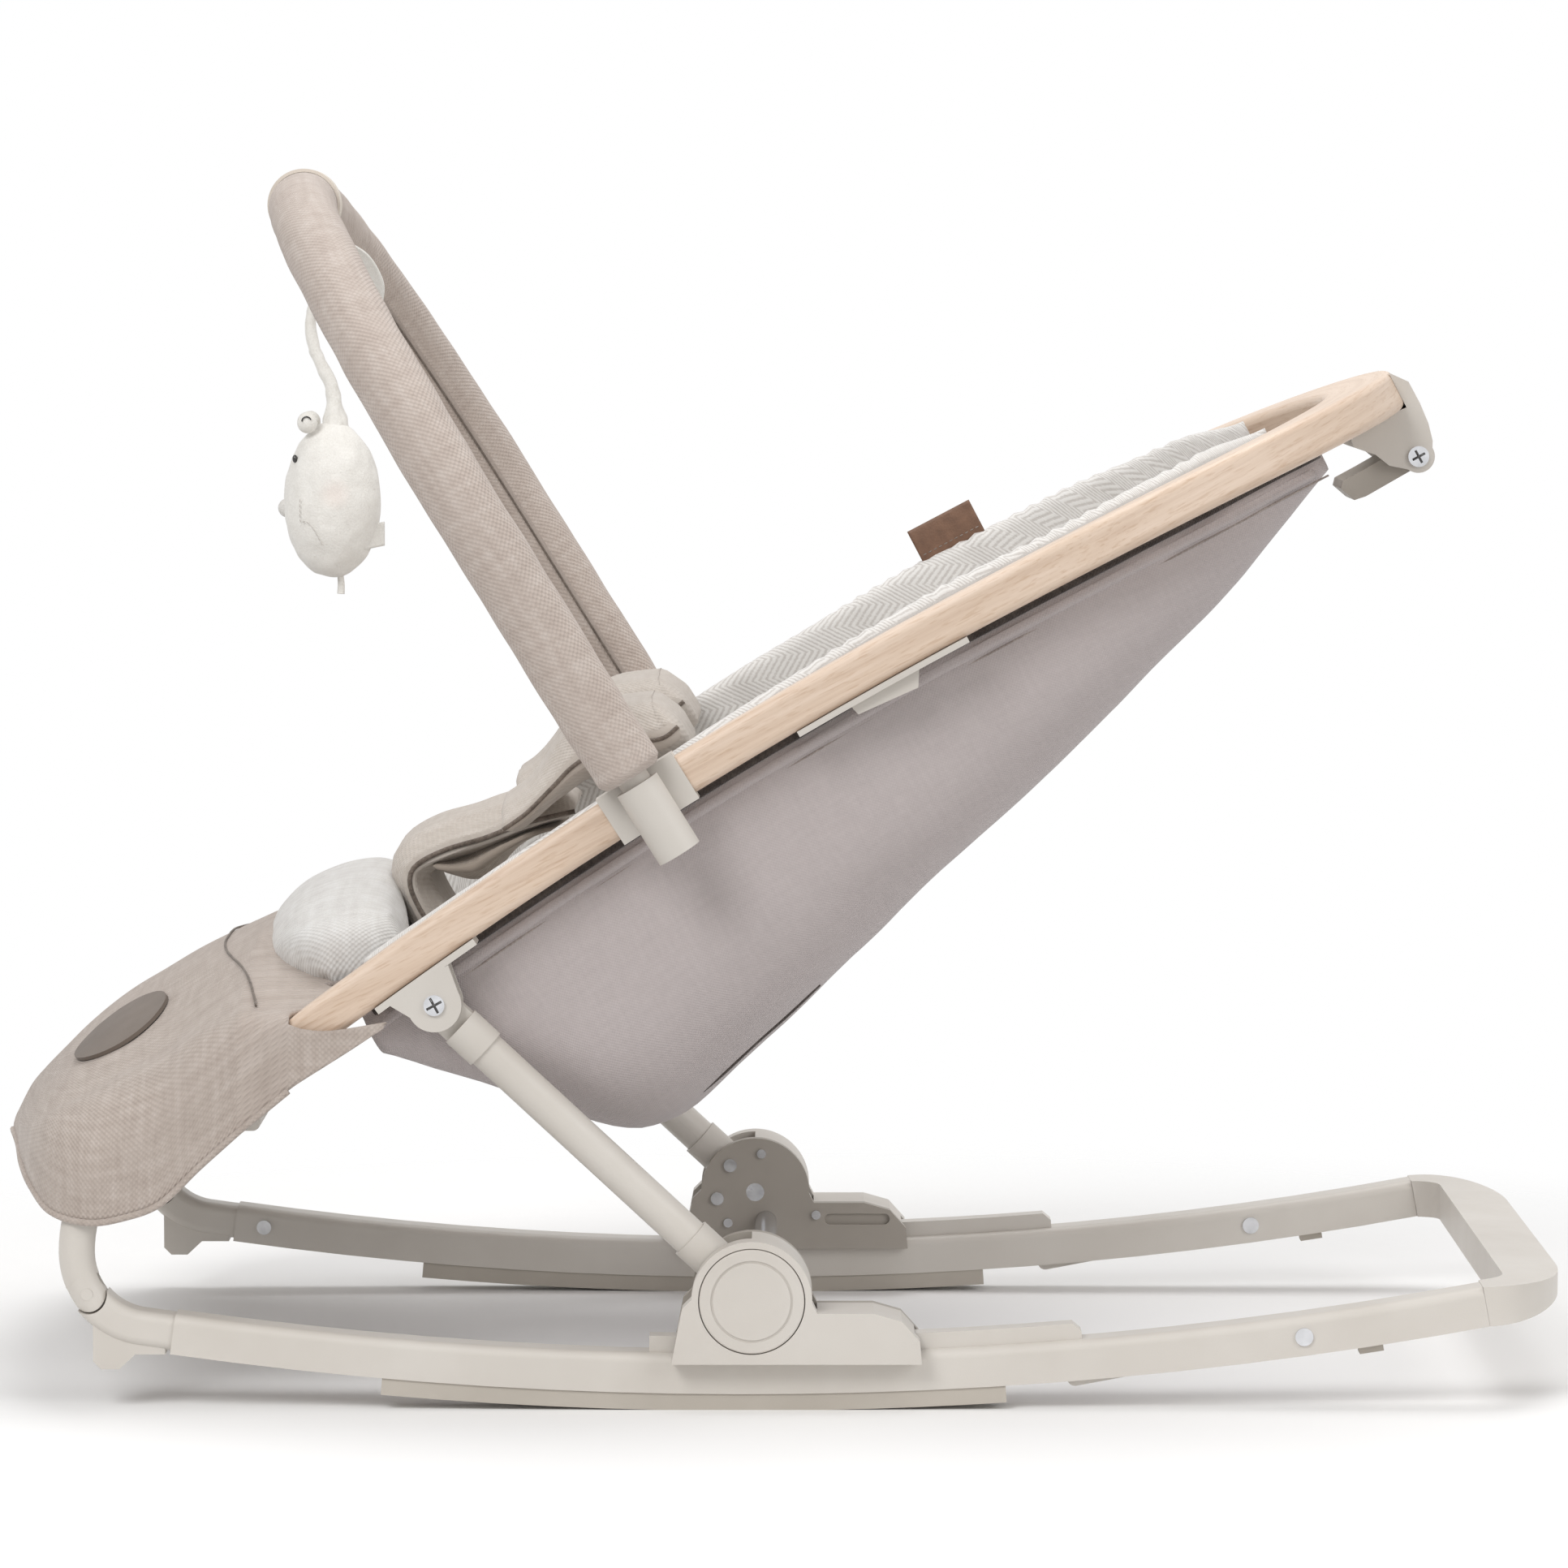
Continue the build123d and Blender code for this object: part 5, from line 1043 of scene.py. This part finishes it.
toy = egg("toy_plush_body", TOY, TOY_HALF, TOY_HEIGHT, 0.04)
puff(toy, 4.0, 0.0012, 0.004)
shift(toy, toy_dent)
on_toy(toy, plush_body, "toy_body")
ears = []
for side, sign in SIDES:
    ears.append(egg("toy_ear", Vector((EAR[0], sign * EAR_Y, EAR[1])), 0.0053, 0.0056, 0.0, 20, 24))
toy_ears = join(*ears)
toy_ears.name = "toy_plush_ears"
on_toy(toy_ears, plush_white, "toy_ears")
muzzle = egg("toy_plush_muzzle", MUZZLE, 0.005, 0.005, 0.0, 20, 24)
shift(muzzle, lambda p: 0.0003 * noise.noise(p * 200))
on_toy(muzzle, plush_grey, "toy_nose")
for side, sign in SIDES:
    eye = egg(f"toy_eye_{side}", Vector((EYE[0], sign * EYE_Y, EYE[1])), 0.0014, 0.0021, 0.0, 14, 16)
    on_toy(eye, bead_dark_and_recess_shade)
    curl = []
    for k in range(12):
        a = 0.3 + 0.26 * k
        curl.append(Vector((EAR[0] + 0.0024 * cos(a), sign * 0.0167, EAR[1] + 0.0008 + 0.0024 * sin(a))))
    on_toy(tube(f"toy_ear_mark_{side}", curl, 0.0004, 6), bead_dark_and_recess_shade)
    stitches(f"toy_arm_seam_{side}", arm_line(sign), "toy", "plush_white", soft_thread, 0.0024, 0.002, 0.0006)

# Toy strap with frilled edges, its line as (x, z), and the tag and tail
STRAP = [
    (-0.2314, 0.58), (-0.238, 0.556), (-0.242, 0.54), (-0.24, 0.525),
    (-0.2346, 0.513), (-0.2305, 0.502), (-0.229, 0.478),
]
TOY_TAIL = [(-0.2274, 0, 0.4085), (-0.2268, 0, 0.4025), (-0.227, 0, 0.397)]
TAG_X, TAG_Y, TAG_Z, TAG_HEIGHT = -0.214, -0.011, 0.4205, 0.0125
rows = []
for i, q in enumerate(curve_through(STRAP, 70)):
    f = i / 69
    half_x = 0.0027 + 0.0011 * smooth(0.35, 0.7, f) + 0.0036 * smooth(0.78, 0.98, f)
    half_y = 0.0034 + 0.0046 * smooth(0.7, 1.0, f)
    uneven = 58 * f + 5 * noise.noise(Vector((9 * f, 0, 0)))
    loop = []
    for a in circle(48):
        ripple = 0.07 * smooth(0.15, 0.4, f) * sin(uneven + 2 * a) * abs(cos(a))
        w = 1 + ripple + 0.08 * smooth(0.8, 1.0, f) * sin(9 * a)
        loop.append(Vector((q.x + half_x * cos(a) * w, half_y * sin(a) * w, q.y)))
    rows.append(loop)
strap = outward(grid_object("toy_strap_cloth", rows, closed=True, caps=True))
on_toy(strap, plush_white, "toy_strap")
rows = []
for f in steps(0, 1, 14):
    corner = Vector((TAG_X + 0.01 * f, TAG_Y + 0.01 * f, TAG_Z + 0.0018 * f))
    rows.append([corner + Vector((0, 0, TAG_HEIGHT * k / 10)) for k in range(11)])
tag = grid_object("toy_tag_tape", rows)
bake(tag, "SOLIDIFY", thickness=0.0007, offset=0.0)
on_toy(tag, plush_white, "toy_tag")
tail = tube("toy_tail_cord", curve_through(TOY_TAIL, 24), lambda f: 0.0016 + 0.0004 * f, 12)
on_toy(tail, plush_white, "toy_tail")

# Floor, backdrop, light and camera
FLOOR_HALF, FADE_START, FADE_END = 6, 0.48, 0.8

def pale_floor():
    """Near white, fading out beyond the object's shadow."""
    p = Paint("pale_floor", 0.9, Specular_IOR_Level=0.1)
    around = p.place()
    p.colour(p.ramp(p.noise(around, 3.0), (0.3, (0.9, 0.9, 0.9, 1)), (0.7, (0.92, 0.92, 0.92, 1))))
    reach = p.node("ShaderNodeVectorMath", operation="LENGTH")
    p.link(around, reach.inputs[0])
    fade = p.ramp(reach.outputs["Value"], (FADE_START, WHITE), (FADE_END, BLACK))
    p.link(fade, p.bsdf.inputs["Alpha"])
    return p.mat

corners = [(FLOOR_HALF * x, FLOOR_HALF * y, 0) for x, y in ((-1, -1), (1, -1), (1, 1), (-1, 1))]
floor = mesh_object("floor", corners, [(0, 1, 2, 3)])
paint(floor, pale_floor())

# Studio light: a soft warm fill, and plain white where the backdrop itself is seen
world = bpy.data.worlds.new("studio")
scene.world = world
world.use_nodes = True
tree = world.node_tree
tree.nodes.clear()
path = tree.nodes.new("ShaderNodeLightPath")
seen = path.outputs["Is Camera Ray"]
for ray in ("Is Glossy Ray", "Is Transmission Ray"):
    either = tree.nodes.new("ShaderNodeMath")
    either.operation = "MAXIMUM"
    tree.links.new(seen, either.inputs[0])
    tree.links.new(path.outputs[ray], either.inputs[1])
    seen = either.outputs[0]
blend, out = tree.nodes.new("ShaderNodeMixShader"), tree.nodes.new("ShaderNodeOutputWorld")
tree.links.new(seen, blend.inputs[0])
for socket, colour, strength in ((1, (1.0, 0.985, 0.97, 1), 0.55), (2, WHITE, 1.0)):
    light = tree.nodes.new("ShaderNodeBackground")
    light.inputs["Color"].default_value = colour
    light.inputs["Strength"].default_value = strength
    tree.links.new(light.outputs[0], blend.inputs[socket])
tree.links.new(blend.outputs[0], out.inputs[0])

def lamp(name, place, target, size, power):
    data = bpy.data.lights.new(name, "AREA")
    data.shape, data.size, data.energy = "DISK", size, power
    obj = bpy.data.objects.new(name, data)
    obj.location = place
    obj.rotation_euler = (Vector(target) - Vector(place)).to_track_quat("-Z", "Y").to_euler()
    collection.objects.link(obj)

lamp("key", (-1.6, -2.6, 2.6), (0, 0, 0.25), 1.8, 62)
lamp("side", (2.4, -2.0, 1.6), (0, 0, 0.25), 1.8, 26)
lamp("top", (0.2, 0.6, 3.2), (0, 0, 0.25), 2.2, 40)

CAMERA_PITCH, SENSOR, FOCAL_PIXELS, FRAME_PIXELS = 4.72, 36.0, 7901, 1932
camera = bpy.data.objects.new("camera", bpy.data.cameras.new("camera"))
collection.objects.link(camera)
camera.location = (0.005, -3.354, 0.574)
camera.rotation_euler = (pi / 2 - radians(CAMERA_PITCH), 0, 0)
camera.data.sensor_width = SENSOR
camera.data.lens = SENSOR * FOCAL_PIXELS / FRAME_PIXELS
scene.camera = camera
scene.view_settings.view_transform = "Standard"
